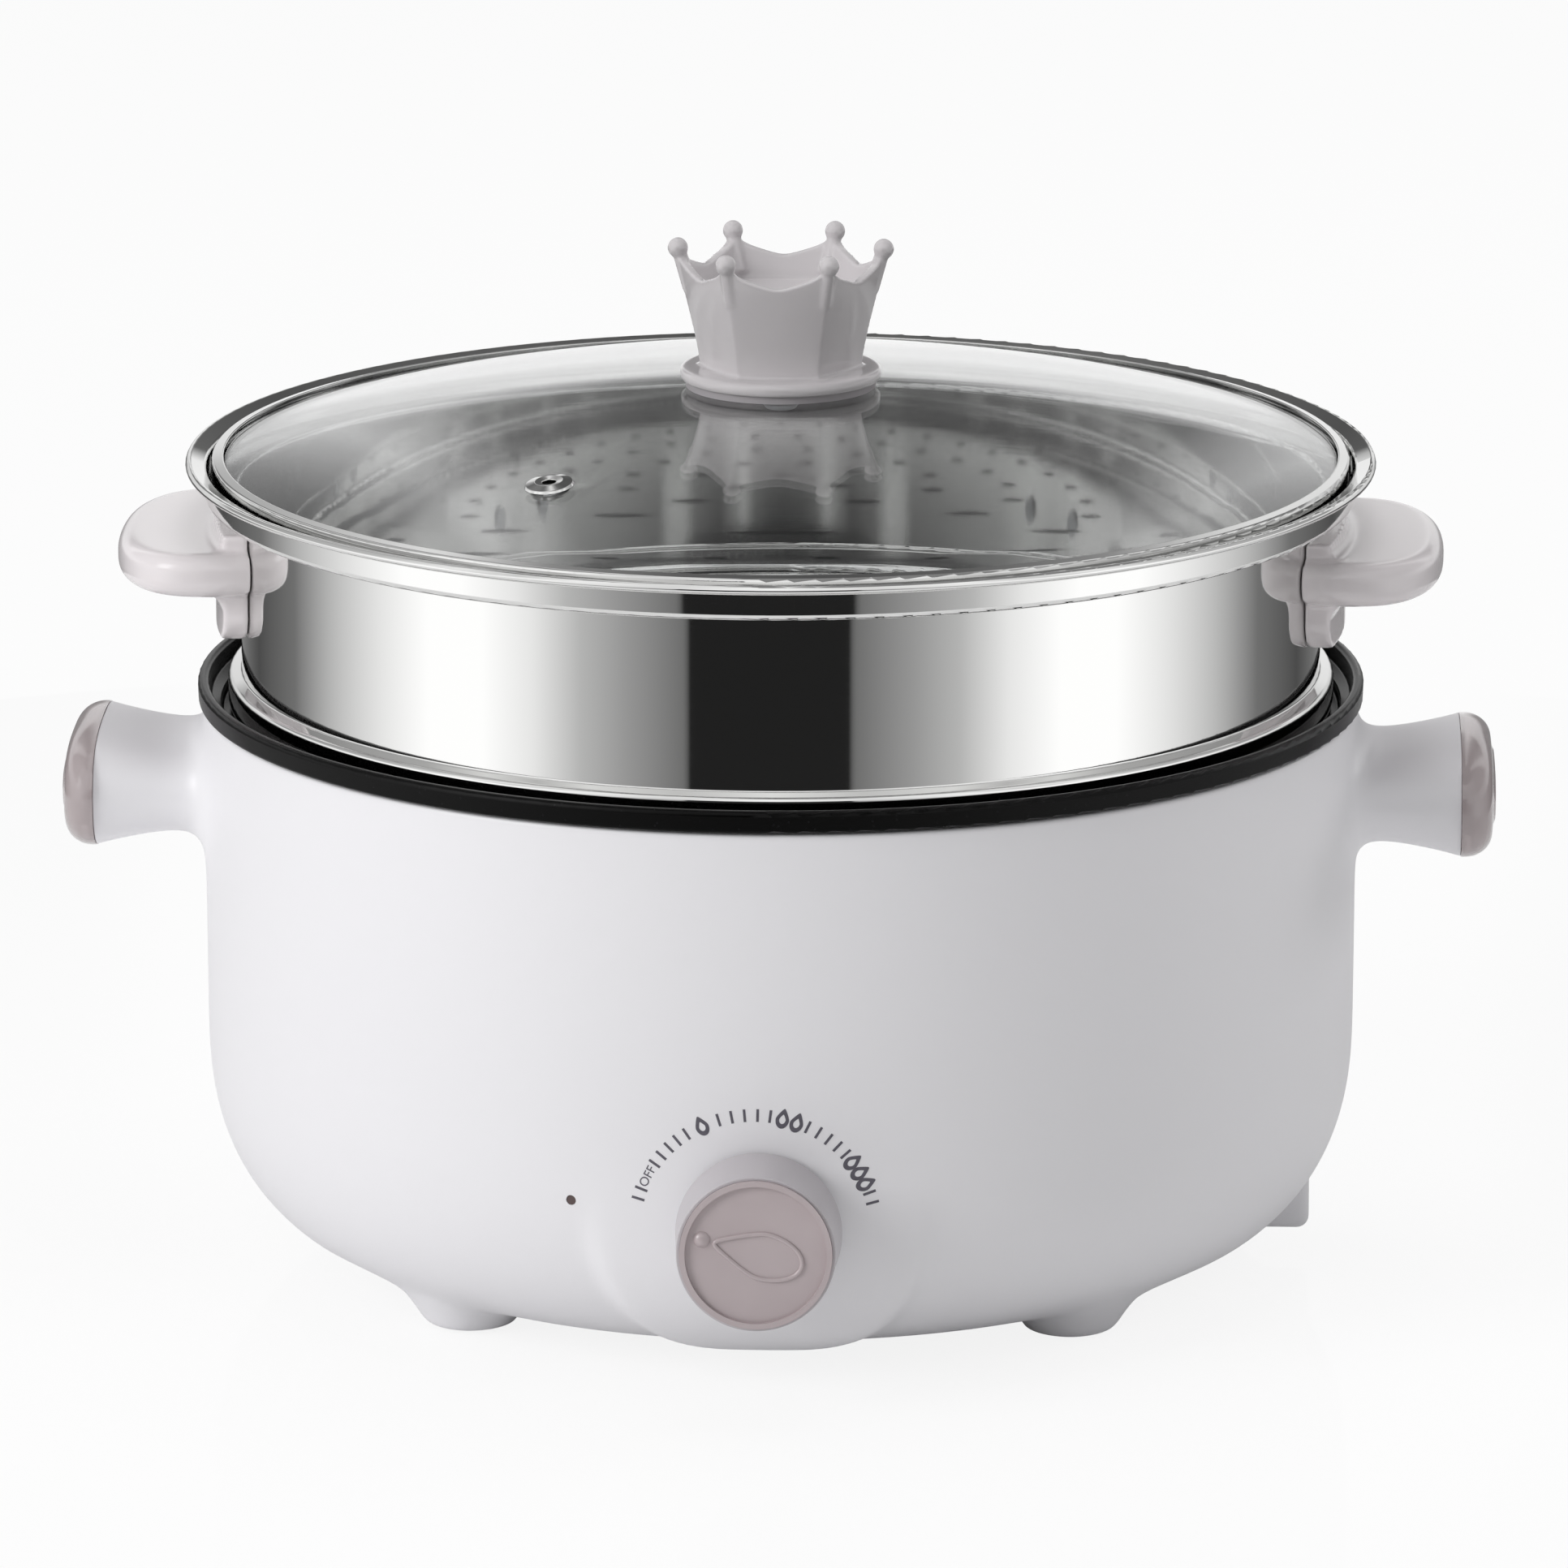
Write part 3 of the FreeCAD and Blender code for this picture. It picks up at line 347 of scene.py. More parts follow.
def moulded_abs(name, colour, roughness):
    """Moulded ABS with a fine spark-eroded texture."""
    made, tree = new_material(name)
    _, bump = grain(tree, 0.8, 0.008)
    skin = add(tree, "ShaderNodeBsdfPrincipled", {
        "Base Color": linear(colour),
        "Roughness": roughness,
        "IOR": 1.53,
        "Normal": bump.outputs["Normal"],
    })
    close(tree, skin)
    return made


def glazed_ceramic():
    """Glazed steatite of the heater's collars: cream white, glassy, slightly mottled."""
    made, tree = new_material("glazed_steatite")
    _, bump = grain(tree, 2.5, 0.01)
    skin = add(tree, "ShaderNodeBsdfPrincipled", {
        "Base Color": linear("E4DDD0"),
        "Roughness": 0.22,
        "IOR": 1.55,
        "Normal": bump.outputs["Normal"],
    })
    close(tree, skin)
    return made


def woven_sleeve():
    """Silicone-dipped glass braid over the inner leads: fine diagonal weave, 0.5 mm a thread."""
    made, tree = new_material("glass_braid_sleeve")
    place = add(tree, "ShaderNodeTexCoord")
    weave = add(tree, "ShaderNodeTexChecker", {"Vector": place.outputs["Object"], "Scale": 2000.0})
    tone = add(tree, "ShaderNodeMix", {
        0: weave.outputs["Fac"],
        "A": linear("CFC8B8"),
        "B": linear("B5AD9B"),
    }, data_type="RGBA")
    bump = add(tree, "ShaderNodeBump",
               {"Height": weave.outputs["Fac"], "Strength": 0.6, "Distance": 0.1 * MM})
    skin = add(tree, "ShaderNodeBsdfPrincipled", {
        "Base Color": tone.outputs["Result"],
        "Roughness": 0.7,
        "Normal": bump.outputs["Normal"],
    })
    close(tree, skin)
    return made


def plated_brass():
    """Nickel-plated brass of the inlet's blades: warm silver, drawn lengthwise."""
    made, tree = new_material("nickel_plated_brass")
    _, bump = grain(tree, 6.0, 0.003, (0.2, 3, 3))
    skin = add(tree, "ShaderNodeBsdfPrincipled", {
        "Base Color": linear("D9CDA9"),
        "Metallic": 1.0,
        "Roughness": 0.24,
        "Normal": bump.outputs["Normal"],
    })
    close(tree, skin)
    return made


def lamp_glass():
    """Thin glass of the neon lamp with an orange glow colour."""
    made, tree = new_material("neon_lamp_glass")
    _, bump = grain(tree, 3.0, 0.01)
    skin = add(tree, "ShaderNodeBsdfPrincipled", {
        "Base Color": linear("D98A63"),
        "Roughness": 0.08,
        "IOR": 1.5,
        "Transmission Weight": 0.7,
        "Normal": bump.outputs["Normal"],
    })
    close(tree, skin)
    return made


def pad_ink():
    """Pad-printed two-part ink: dark violet grey, dull, slightly uneven in density."""
    made, tree = new_material("pad_printed_ink")
    cells, bump = grain(tree, 0.5, 0.004)
    tone = add(tree, "ShaderNodeMix", {
        0: cells.outputs["Fac"],
        "A": linear("4E4B55"),
        "B": linear("65626C"),
    }, data_type="RGBA")
    skin = add(tree, "ShaderNodeBsdfPrincipled", {
        "Base Color": tone.outputs["Result"],
        "Roughness": 0.5,
        "Normal": bump.outputs["Normal"],
    })
    close(tree, skin)
    return made


def give(material, *names):
    """Put one material on pieces given by node name or object."""
    for item in names:
        target = nodes[item] if isinstance(item, str) else item
        target.data.materials.clear()
        target.data.materials.append(material)


shell_plastic = satin_polypropylene()
cap_plastic = tinted_polycarbonate("cap_polycarbonate", "CBBFC0", 0.08, 0.35)
grip_plastic = tinted_polycarbonate("grip_polycarbonate", "EDE7E9", 0.14, 0.08)
crown_plastic = tinted_polycarbonate("crown_polycarbonate", "D0CCCE", 0.06, 0.0)
inlay_plastic = dial_polycarbonate()
dial_plastic = moulded_abs("dial_abs", "BFBABE", 0.30)
black_plastic = moulded_abs("black_abs", "141416", 0.42)
cover_plastic = moulded_abs("cover_abs", "D6D6D8", 0.45)
tier_metal = polished_steel()
band_metal = rim_steel()
screw_metal = zinc_steel()
heater_metal = heater_steel()
pot_coating = nonstick_coating()
dome_glass = clear_glass()
clear_silicone = silicone_rubber("clear_silicone", "A9A5A8")
foot_rubber = silicone_rubber("foot_rubber", "C2C2C4")
ceramic = glazed_ceramic()
braid = woven_sleeve()
brass = plated_brass()
bulb_glass = lamp_glass()
ink = pad_ink()
lens_plastic = tinted_polycarbonate("lens_polycarbonate", "5A4543", 0.2, 0.2)


def dress_nodes():
    """Every node that stays in view gets its own finish."""
    give(shell_plastic, "outer_shell")
    give(cap_plastic, "handle_cap_right", "handle_cap_left")
    give(pot_coating, "inner_pot")
    give(heater_metal, "heating_element")
    give(ceramic, "element_terminals")
    give(screw_metal, "heat_shield", "thermal_cutoff", "cutoff_clip", "regulator_bracket", "regulator_screws")
    give(screw_metal, "regulator_shaft", "tie_screws", "steamer_screws", "knob_washer", "knob_screw")
    give(black_plastic, "regulator_body", "inlet_socket")
    give(bulb_glass, "pilot_lamp")
    give(lens_plastic, "pilot_lens")
    give(brass, "inlet_pins")
    give(braid, "wiring")
    give(cover_plastic, "bottom_cover")
    give(foot_rubber, "foot_pad_back_right", "foot_pad_back_left")
    give(foot_rubber, "foot_pad_front_left", "foot_pad_front_right")
    give(dial_plastic, "dial_knob")
    give(inlay_plastic, "dial_face")
    give(tier_metal, "steamer_basket")
    give(grip_plastic, "steamer_handle_right", "steamer_handle_left")
    give(dome_glass, "lid_glass")
    give(band_metal, "lid_rim", "vent_eyelet")
    give(crown_plastic, "lid_knob")
    give(clear_silicone, "knob_gasket", "lower_gasket")


dress_nodes()


def clear_selection():
    """Leave edit mode and deselect everything."""
    if bpy.context.mode != "OBJECT":
        bpy.ops.object.mode_set(mode="OBJECT")
    bpy.ops.object.select_all(action="DESELECT")


def pick(piece):
    """Select one piece alone and make it the active one."""
    clear_selection()
    piece.select_set(True)
    bpy.context.view_layer.objects.active = piece


def open_mesh(piece):
    """Take one piece into edit mode, with all of its mesh selected."""
    pick(piece)
    bpy.ops.object.mode_set(mode="EDIT")
    bpy.ops.mesh.select_all(action="SELECT")


def close_mesh():
    """Leave edit mode."""
    bpy.ops.object.mode_set(mode="OBJECT")


def settle(piece):
    """Put a piece's place into its mesh, its object at the origin."""
    pick(piece)
    bpy.ops.object.transform_apply(location=True, rotation=True, scale=True)


def apply_modifier(piece, kind, **settings):
    """Add a modifier with its settings and apply it."""
    pick(piece)
    made = piece.modifiers.new(kind.lower(), kind)
    for key, value in settings.items():
        setattr(made, key, value)
    bpy.ops.object.modifier_apply(modifier=made.name)


def smooth(piece, angle):
    """Smooth shading, with edges sharper than the angle kept crisp."""
    pick(piece)
    bpy.ops.object.shade_smooth_by_angle(angle=math.radians(angle))


def join(name, parts):
    """One piece made of several."""
    clear_selection()
    for part in parts:
        part.select_set(True)
    bpy.context.view_layer.objects.active = parts[0]
    bpy.ops.object.join()
    made = bpy.context.object
    made.name = name
    return made


def hand_over(piece, body, slot, material, *replaced):
    """Give a finished piece its body and its finish, and hide the nodes that it stands for."""
    give(material, piece)
    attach(piece, body)
    if replaced:
        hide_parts(*replaced)


def superellipse(angle, power):
    """A point of the unit superellipse, in the direction of the angle."""
    c = math.cos(angle)
    s = math.sin(angle)
    return math.copysign(abs(c) ** (2 / power), c), math.copysign(abs(s) ** (2 / power), s)


def body_radius(z, power=SHELL_POWER):
    """The shell's outer radius at a height."""
    if z >= SHELL_WALL_Z:
        share = (z - SHELL_WALL_Z) / (SHELL_TOP_Z - SHELL_WALL_Z)
        return SHELL_WALL_R + (SHELL_TOP_R - SHELL_WALL_R) * share
    drop = min((SHELL_WALL_Z - z) / (SHELL_WALL_Z - SHELL_FLAT_Z), 1.0)
    angle = math.asin(drop ** (power / 2))
    return SHELL_FLAT_R + (SHELL_WALL_R - SHELL_FLAT_R) * math.cos(angle) ** (2 / power)


def body_bottom(radius):
    """The height of the shell's underside at a radius."""
    if radius <= SHELL_FLAT_R:
        return SHELL_FLAT_Z
    share = min((radius - SHELL_FLAT_R) / (SHELL_WALL_R - SHELL_FLAT_R), 1.0)
    angle = math.acos(share ** (SHELL_POWER / 2))
    return SHELL_WALL_Z - (SHELL_WALL_Z - SHELL_FLAT_Z) * math.sin(angle) ** (2 / SHELL_POWER)


# The shell's net: columns round it, and the heights or radii at which its rings lie
SHELL_COLUMNS = 96
SHELL_EDGE_R = 0.7
WALL_RINGS_Z = (
    137.2, 128.0, 118.5, 109.0, 99.8, 90.0, 79.0, 68.5, 59.6, 51.5, 44.0, 37.0, 30.5, 24.5, 19.4, 15.2,
)
FOOT_RINGS_R = (121.5, 113.0, 104.8, 96.5, 88.2)
INNER_RINGS_ANGLE = (78, 62, 46, 30, 14, 0)
# Where in the net the handles and legs grow
HORN_PATCH_Z = (99.8, 137.2)
HORN_PATCH_ANGLE = 15.0
LEG_PATCH_R = (88.2, 121.5)
LEG_PATCH_ANGLE = 11.25
LEG_ANGLES = (45, 135, 225, 315)
# Edges of the shell sharper than this stay crisp
SHELL_CRISP_ANGLE = 38


def shell_section():
    """Radius and height of the shell's rings, from its top edge down the outside and back up within."""
    edge = SHELL_EDGE_R
    rings = [(SHELL_TOP_R - edge, SHELL_TOP_Z), (SHELL_TOP_R, SHELL_TOP_Z - edge), (SHELL_TOP_R, 138.6)]
    rings += [(body_radius(z), z) for z in WALL_RINGS_Z]
    rings += [(r, body_bottom(r)) for r in FOOT_RINGS_R]
    rings += [(86.3, SHELL_FLAT_Z), (SHELL_OPENING_R, SHELL_FLAT_Z + 0.3)]
    rings += [(SHELL_OPENING_R, 7.2), (90.0, 7.4)]
    for angle in INNER_RINGS_ANGLE:
        c, s = superellipse(math.radians(angle), SHELL_POWER)
        radius = SHELL_FLAT_R + (SHELL_WALL_R - SHELL_THICK - SHELL_FLAT_R) * c
        height = SHELL_WALL_Z - (SHELL_WALL_Z - SHELL_FLAT_Z - SHELL_THICK) * s
        rings.append((radius, height))
    rings += [(139.2, 100.0), (139.3, 139.9), (139.7, SHELL_TOP_Z)]
    return rings


def ring_stack(name, rings, columns):
    """A closed turned form: a circle extruded from ring to ring and welded to its start."""
    clear_selection()
    radius, height = rings[0]
    bpy.ops.mesh.primitive_circle_add(vertices=columns, radius=radius * MM, location=(0, 0, height * MM))
    piece = bpy.context.object
    piece.name = name
    settle(piece)
    open_mesh(piece)
    for next_radius, next_height in rings[1:] + rings[:1]:
        rise = (next_height - height) * MM
        bpy.ops.mesh.extrude_region_move(TRANSFORM_OT_translate={"value": (0, 0, rise)})
        grow = next_radius / radius
        bpy.ops.transform.resize(value=(grow, grow, 1.0), center_override=(0, 0, next_height * MM))
        radius = next_radius
        height = next_height
    bpy.ops.mesh.select_all(action="SELECT")
    bpy.ops.mesh.remove_doubles(threshold=0.01 * MM)
    bpy.ops.mesh.normals_make_consistent(inside=False)
    close_mesh()
    return piece


def select_patch(piece, belongs, local):
    """Select a patch of faces, and note for each of its points where it lies in the patch's unit disc."""
    bpy.ops.mesh.select_mode(type="FACE")
    bpy.ops.mesh.select_all(action="DESELECT")
    mesh = bmesh.from_edit_mesh(piece.data)
    layers = mesh.verts.layers.float
    reach_layer = layers.get("reach") or layers.new("reach")
    turn_layer = layers.get("turn") or layers.new("turn")
    for face in mesh.faces:
        if belongs(face.calc_center_median() / MM):
            face.select = True
            for vert in face.verts:
                u, v = local(vert.co / MM)
                vert[reach_layer] = min(max(abs(u), abs(v)), 1.0)
                vert[turn_layer] = math.atan2(v, u)
    bmesh.update_edit_mesh(piece.data)


def sprout(piece, belongs, local, rings):
    """Grow a stem from a patch of faces. Each ring says where a point of the unit disc goes."""
    open_mesh(piece)
    select_patch(piece, belongs, local)
    for i, ring in enumerate(rings):
        if i > 0:
            bpy.ops.mesh.extrude_region_move()
        mesh = bmesh.from_edit_mesh(piece.data)
        reach_layer = mesh.verts.layers.float.get("reach")
        turn_layer = mesh.verts.layers.float.get("turn")
        for vert in mesh.verts:
            if vert.select:
                vert.co = Vector(ring(vert[reach_layer], vert[turn_layer])) * MM
        bmesh.update_edit_mesh(piece.data)
    close_mesh()


def horn_ring(side, share, width, height):
    """One section of a handle, a share of the way from the body to the handle's end."""
    def place(reach, turn):
        c, s = superellipse(turn, HORN_POWER)
        y = reach * width / 2 * c
        z = HORN_Z + reach * height / 2 * s
        start = math.sqrt(body_radius(z) ** 2 - y * y)
        return side * (start + (HORN_END_X - start) * share), y, z
    return place


# A flared handle's sections outside and then within: share of its length, width and height
HORN_SECTIONS = (
    (0.0, 73.0, 36.4), (0.045, 64.0, 28.0), (0.14, 59.6, 23.2), (0.3, 59.2, 22.4), (0.5, 60.8, 23.6),
    (0.7, 63.0, 25.6), (0.87, 65.2, 27.6), (0.965, 66.7, 29.0), (0.992, 67.1, 29.35), (1.0, 67.2, 29.4),
    (1.0, 66.6, 28.8), (1.0, 65.0, 27.2), (0.98, 63.2, 25.4), (0.7, 57.4, 20.6), (0.69, 52.0, 17.4),
)
# A leg's sections down to its foot and up into the pad's recess: share of its height, radius, lift
LEG_SECTIONS = (
    (0.0, 16.5), (0.14, 14.6), (0.4, 13.0), (0.7, 11.9), (0.93, 10.9), (1.0, 9.6), (1.0, 8.0), (1.0, 7.25),
    (1.0, 7.15, 0.3), (1.0, 7.15, 1.25), (1.0, 6.6, 1.3),
)
LEG_LEAN = 1.9


def grow_horn(piece, side):
    """A flared hollow handle with a soft fillet where it leaves the body."""
    def belongs(middle):
        low, high = HORN_PATCH_Z
        turn = math.degrees(math.atan2(middle.y, side * middle.x))
        outside = math.hypot(middle.x, middle.y) > body_radius(middle.z) - 1.5
        return outside and abs(turn) < HORN_PATCH_ANGLE and low < middle.z < high

    def local(point):
        low, high = HORN_PATCH_Z
        turn = math.degrees(math.atan2(point.y, side * point.x))
        return turn / HORN_PATCH_ANGLE, (point.z - (low + high) / 2) / ((high - low) / 2)

    sprout(piece, belongs, local, [horn_ring(side, *section) for section in HORN_SECTIONS])


def leg_ring(angle, share, radius, lift=0.0):
    """One section of a leg, a share of the way down from the shell's underside."""
    def place(reach, turn):
        out = LEG_RING_R + LEG_LEAN * (1 - share) + reach * radius * math.sin(turn)
        across = reach * radius * math.cos(turn)
        top = body_bottom(math.hypot(out, across))
        z = top + (LEG_END_Z - top) * share + lift
        a = math.radians(angle)
        return out * math.cos(a) - across * math.sin(a), out * math.sin(a) + across * math.cos(a), z
    return place


def grow_leg(piece, angle):
    """A short tapered leg with a soft fillet above and a round recess for its pad below."""
    def belongs(middle):
        low, high = LEG_PATCH_R
        out = math.hypot(middle.x, middle.y)
        turn = (math.degrees(math.atan2(middle.y, middle.x)) - angle + 180) % 360 - 180
        under = middle.z < body_bottom(out) + 1.0
        return under and abs(turn) < LEG_PATCH_ANGLE and low < out < high

    def local(point):
        low, high = LEG_PATCH_R
        turn = (math.degrees(math.atan2(point.y, point.x)) - angle + 180) % 360 - 180
        out = math.hypot(point.x, point.y)
        return turn / LEG_PATCH_ANGLE, (out - (low + high) / 2) / ((high - low) / 2)

    sprout(piece, belongs, local, [leg_ring(angle, *section) for section in LEG_SECTIONS])


def ease(value):
    """A smooth step from 0 to 1."""
    value = min(max(value, 0.0), 1.0)
    return value * value * (3 - 2 * value)


# The dial's pad: outside the far radius nothing moves, inside the near one the fuller form holds
PAD_BLEND_R = (43.0, 37.0)
PAD_FRONT_Y = -60.0
PAD_SKIN = 1.2


def swell_pad(piece):
    """Push the front of the shell out to the fuller round pad that carries the dial."""
    far, near = PAD_BLEND_R
    for vert in piece.data.vertices:
        point = vert.co / MM
        if point.y > PAD_FRONT_Y or point.z > SHELL_WALL_Z:
            continue
        out = math.hypot(point.x, point.y)
        if out < body_radius(point.z) - PAD_SKIN:
            continue
        away = math.hypot(point.x, point.z - DIAL_Z)
        share = ease((far - away) / (far - near))
        fuller = body_radius(point.z, PAD_POWER) - body_radius(point.z)
        grow = (out + share * fuller) / out
        vert.co.x *= grow
        vert.co.y *= grow


def rounded_block(low, high, radius, steps=4):
    """A box with rounded edges."""
    clear_selection()
    size = [(b - a) * MM for a, b in zip(low, high)]
    middle = [(a + b) / 2 * MM for a, b in zip(low, high)]
    bpy.ops.mesh.primitive_cube_add(size=1.0, location=middle, scale=size)
    piece = bpy.context.object
    settle(piece)
    apply_modifier(piece, "BEVEL", width=radius * MM, segments=steps, limit_method="NONE")
    return piece


def round_bar(radius, start, end, columns=32):
    """A round bar between two points."""
    clear_selection()
    a = Vector(start) * MM
    b = Vector(end) * MM
    bpy.ops.mesh.primitive_cylinder_add(
        vertices=columns, radius=radius * MM, depth=(b - a).length, location=(a + b) / 2,
        rotation=(b - a).to_track_quat("Z", "Y").to_euler(),
    )
    piece = bpy.context.object
    settle(piece)
    return piece


def carve(piece, tool, operation):
    """Join a tool to a piece, or cut the piece with it, and remove the tool."""
    apply_modifier(piece, "BOOLEAN", object=tool, operation=operation, solver="EXACT")
    bpy.data.objects.remove(tool)


def seat_dial(shell):
    """The flat round seat behind the dial."""
    front, back = PAD_SEAT_Y
    carve(shell, round_bar(PAD_SEAT_R, (0, front, DIAL_Z), (0, back, DIAL_Z), 64), "UNION")


def open_inlet(shell):
    """The boss on the right side that holds the power inlet, and its mouth."""
    inner, face = INLET_X
    low, high = INLET_Z
    boss = rounded_block((inner, -INLET_HALF_Y, low), (face, INLET_HALF_Y, high), INLET_EDGE_R, 6)
    carve(shell, boss, "UNION")
    inner, beyond = INLET_MOUTH_X
    low, high = INLET_MOUTH_Z
    half = INLET_MOUTH_HALF_Y
    mouth = rounded_block((inner, -half, low), (beyond, half, high), INLET_MOUTH_EDGE_R)
    carve(shell, mouth, "DIFFERENCE")


def drill_pilot_hole(shell):
    """The small hole of the pilot lamp, left of the dial."""
    turn = math.radians(-90 - PILOT_ANGLE)
    out = Vector((math.cos(turn), math.sin(turn), 0))
    level = Vector((0, 0, PILOT_Z))
    start, end = PILOT_DRILL
    carve(shell, round_bar(PILOT_R, out * start + level, out * end + level), "DIFFERENCE")


def make_shell():
    """White shell: body, flared handles and legs in one skin, then the dial's pad, inlet and lamp hole."""
    shell = ring_stack("shell", shell_section(), SHELL_COLUMNS)
    for side in (1, -1):
        grow_horn(shell, side)
    for angle in LEG_ANGLES:
        grow_leg(shell, angle)
    apply_modifier(shell, "SUBSURF", levels=2, render_levels=2)
    swell_pad(shell)
    seat_dial(shell)
    open_inlet(shell)
    drill_pilot_hole(shell)
    smooth(shell, SHELL_CRISP_ANGLE)
    hand_over(shell, "base", "shell_white", shell_plastic, "outer_shell")
    return shell


# Points nearer than this are one, in millimetres
WELD = 0.002
CROWN_CELL = 0.40
CROWN_ROUNDS = 8
GRIP_CELL = 0.55
GRIP_ROUNDS = 12


def moulded_copy(name, node, voxel, rounds):
    """A node's form taken again as one moulded skin, its seams melted to small fillets."""
    clear_selection()
    piece = nodes[node].copy()
    piece.data = nodes[node].data.copy()
    piece.name = name
    bpy.context.scene.collection.objects.link(piece)
    piece.parent = None
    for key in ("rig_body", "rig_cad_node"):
        if key in piece:
            del piece[key]
    open_mesh(piece)
    bpy.ops.mesh.remove_doubles(threshold=WELD * MM)
    close_mesh()
    if piece.data.has_custom_normals:
        bpy.ops.mesh.customdata_custom_splitnormals_clear()
    apply_modifier(piece, "REMESH", mode="VOXEL", voxel_size=voxel * MM)
    apply_modifier(piece, "SMOOTH", factor=0.5, iterations=rounds)
    pick(piece)
    bpy.ops.object.shade_smooth()
    return piece


def make_crown():
    """Crown knob as one moulding."""
    crown = moulded_copy("crown_knob", "lid_knob", CROWN_CELL, CROWN_ROUNDS)
    hand_over(crown, "lid", "knob_plastic", crown_plastic, "lid_knob")


def make_grips():
    """The tier's two moulded handles."""
    for side in ("right", "left"):
        node = "steamer_handle_" + side
        grip = moulded_copy("tier_grip_" + side, node, GRIP_CELL, GRIP_ROUNDS)
        hand_over(grip, "steamer", "grip_plastic", grip_plastic, node)


def print_place(angle, radius=PRINT_R):
    """Where a mark stands round the dial, in the plane in front of it, and how far it is turned."""
    a = math.radians(angle)
    x = PRINT_CENTRE_X + radius * math.cos(a)
    z = DIAL_Z + radius * math.sin(a)
    return Vector((x, PRINT_PLANE_Y, z)) * MM, (0, math.radians(90 - angle), 0)


def flat_mark(points, angle, holes=()):
    """A flat mark from its outline in millimetres, stood round the dial."""
    place, turn = print_place(angle)
    curve = bpy.data.curves.new("mark", "CURVE")
    curve.dimensions = "2D"
    curve.fill_mode = "BOTH"
    for outline in (points, *holes):
        spline = curve.splines.new("POLY")
        spline.points.add(len(outline) - 1)
        for point, (u, v) in zip(spline.points, outline):
            point.co = (u * MM, v * MM, 0, 1)
        spline.use_cyclic_u = True
    mark = bpy.data.objects.new("mark", curve)
    bpy.context.scene.collection.objects.link(mark)
    stand_mark(mark, place, turn)
    return mark


def stand_mark(mark, place, turn):
    """Make a flat mark a mesh, turn it upright to face the front, and bring it to its place."""
    pick(mark)
    bpy.ops.object.convert(target="MESH")
    mark.rotation_euler = (math.radians(90), 0, 0)
    settle(mark)
    mark.rotation_euler = turn
    mark.location = place
    settle(mark)


def tick_outline():
    """A short upright bar."""
    w = TICK_WIDE / 2
    h = TICK_LONG / 2
    return [(-w, -h), (w, -h), (w, h), (-w, h)]


def drop_outline(grow, count=36):
    """A drop with its point up: a circle drawn out to a tip."""
    points = []
    for i in range(count):
        a = 2 * math.pi * i / count
        lift = math.cos(a)
        u = math.sin(a) * (1 - 0.55 * max(lift, 0) ** 1.4) * DROP_WIDE / 2 * grow
        v = (lift * 0.5 + 0.12 * max(lift, 0) ** 2) * DROP_LONG * grow
        points.append((u, v - DROP_DOWN))
    return points


def off_mark(angle):
    """The word OFF, small, stood round the dial."""
    place, turn = print_place(angle, PRINT_R - OFF_IN)
    words = bpy.data.curves.new("mark", "FONT")
    words.body = "OFF"
    words.size = OFF_TALL * MM
    words.align_x = "CENTER"
    words.align_y = "CENTER"
    mark = bpy.data.objects.new("mark", words)
    bpy.context.scene.collection.objects.link(mark)
    stand_mark(mark, place, turn)
    return mark


def printed_marks():
    """The ring of ticks, drops and OFF, still flat, in the plane before the dial."""
    marks = []
    for kind, angle in PRINT_MARKS:
        if kind == "tick":
            marks.append(flat_mark(tick_outline(), angle))
        if kind == "drop":
            marks.append(flat_mark(drop_outline(1.0), angle, [drop_outline(DROP_HOLE)]))
        if kind == "off":
            marks.append(off_mark(angle))
    return marks


def make_print(shell):
    """The printed ring, laid on the shell's skin."""
    dial_print = join("dial_print", printed_marks())
    open_mesh(dial_print)
    bpy.ops.mesh.remove_doubles(threshold=WELD * MM)
    bpy.ops.mesh.subdivide(number_cuts=2)
    close_mesh()
    apply_modifier(
        dial_print, "SHRINKWRAP", target=shell, wrap_method="PROJECT", offset=0.0,
        use_project_x=False, use_project_y=True, use_project_z=False,
        use_positive_direction=True, use_negative_direction=False,
    )
    apply_modifier(dial_print, "SOLIDIFY", thickness=PRINT_THICK * MM, offset=0.0)
    open_mesh(dial_print)
    bpy.ops.mesh.normals_make_consistent(inside=False)
    close_mesh()
    hand_over(dial_print, "base", "shell_white", ink)


def make_pointer():
    """Raised outline of a drop on the dial's face, its point at the pointer dome."""
    across = POINTER_WIDE / DROP_WIDE
    along = POINTER_LONG / DROP_LONG
    points = [(u * across, v * along - POINTER_DOWN) for u, v in drop_outline(1.0, 64)]
    curve = bpy.data.curves.new("pointer", "CURVE")
    curve.dimensions = "3D"
    curve.bevel_depth = POINTER_BEAD_R * MM
    curve.bevel_resolution = 4
    spline = curve.splines.new("POLY")
    spline.points.add(len(points) - 1)
    for point, (u, v) in zip(spline.points, points):
        point.co = (u * MM, v * MM, 0, 1)
    spline.use_cyclic_u = True
    pointer = bpy.data.objects.new("dial_pointer", curve)
    bpy.context.scene.collection.objects.link(pointer)
    place = Vector((0, DIAL_RECESS_Y - POINTER_PROUD, DIAL_Z)) * MM
    stand_mark(pointer, place, (0, math.radians(90 - POINTER_ANGLE), 0))
    smooth(pointer, 60)
    hand_over(pointer, "dial", "dial_tint", inlay_plastic)


shell = make_shell()
make_print(shell)
make_pointer()
make_crown()
make_grips()

# Camera at the photograph's angle
CAMERA_AZIMUTH = 2.1
CAMERA_ELEVATION = 13.93
CAMERA_DISTANCE = 2.964
CAMERA_TARGET = (0.0, 0.0, 0.12)
CAMERA_LENS = 276.2
CAMERA_SHIFT = (0.00205, -0.0065)


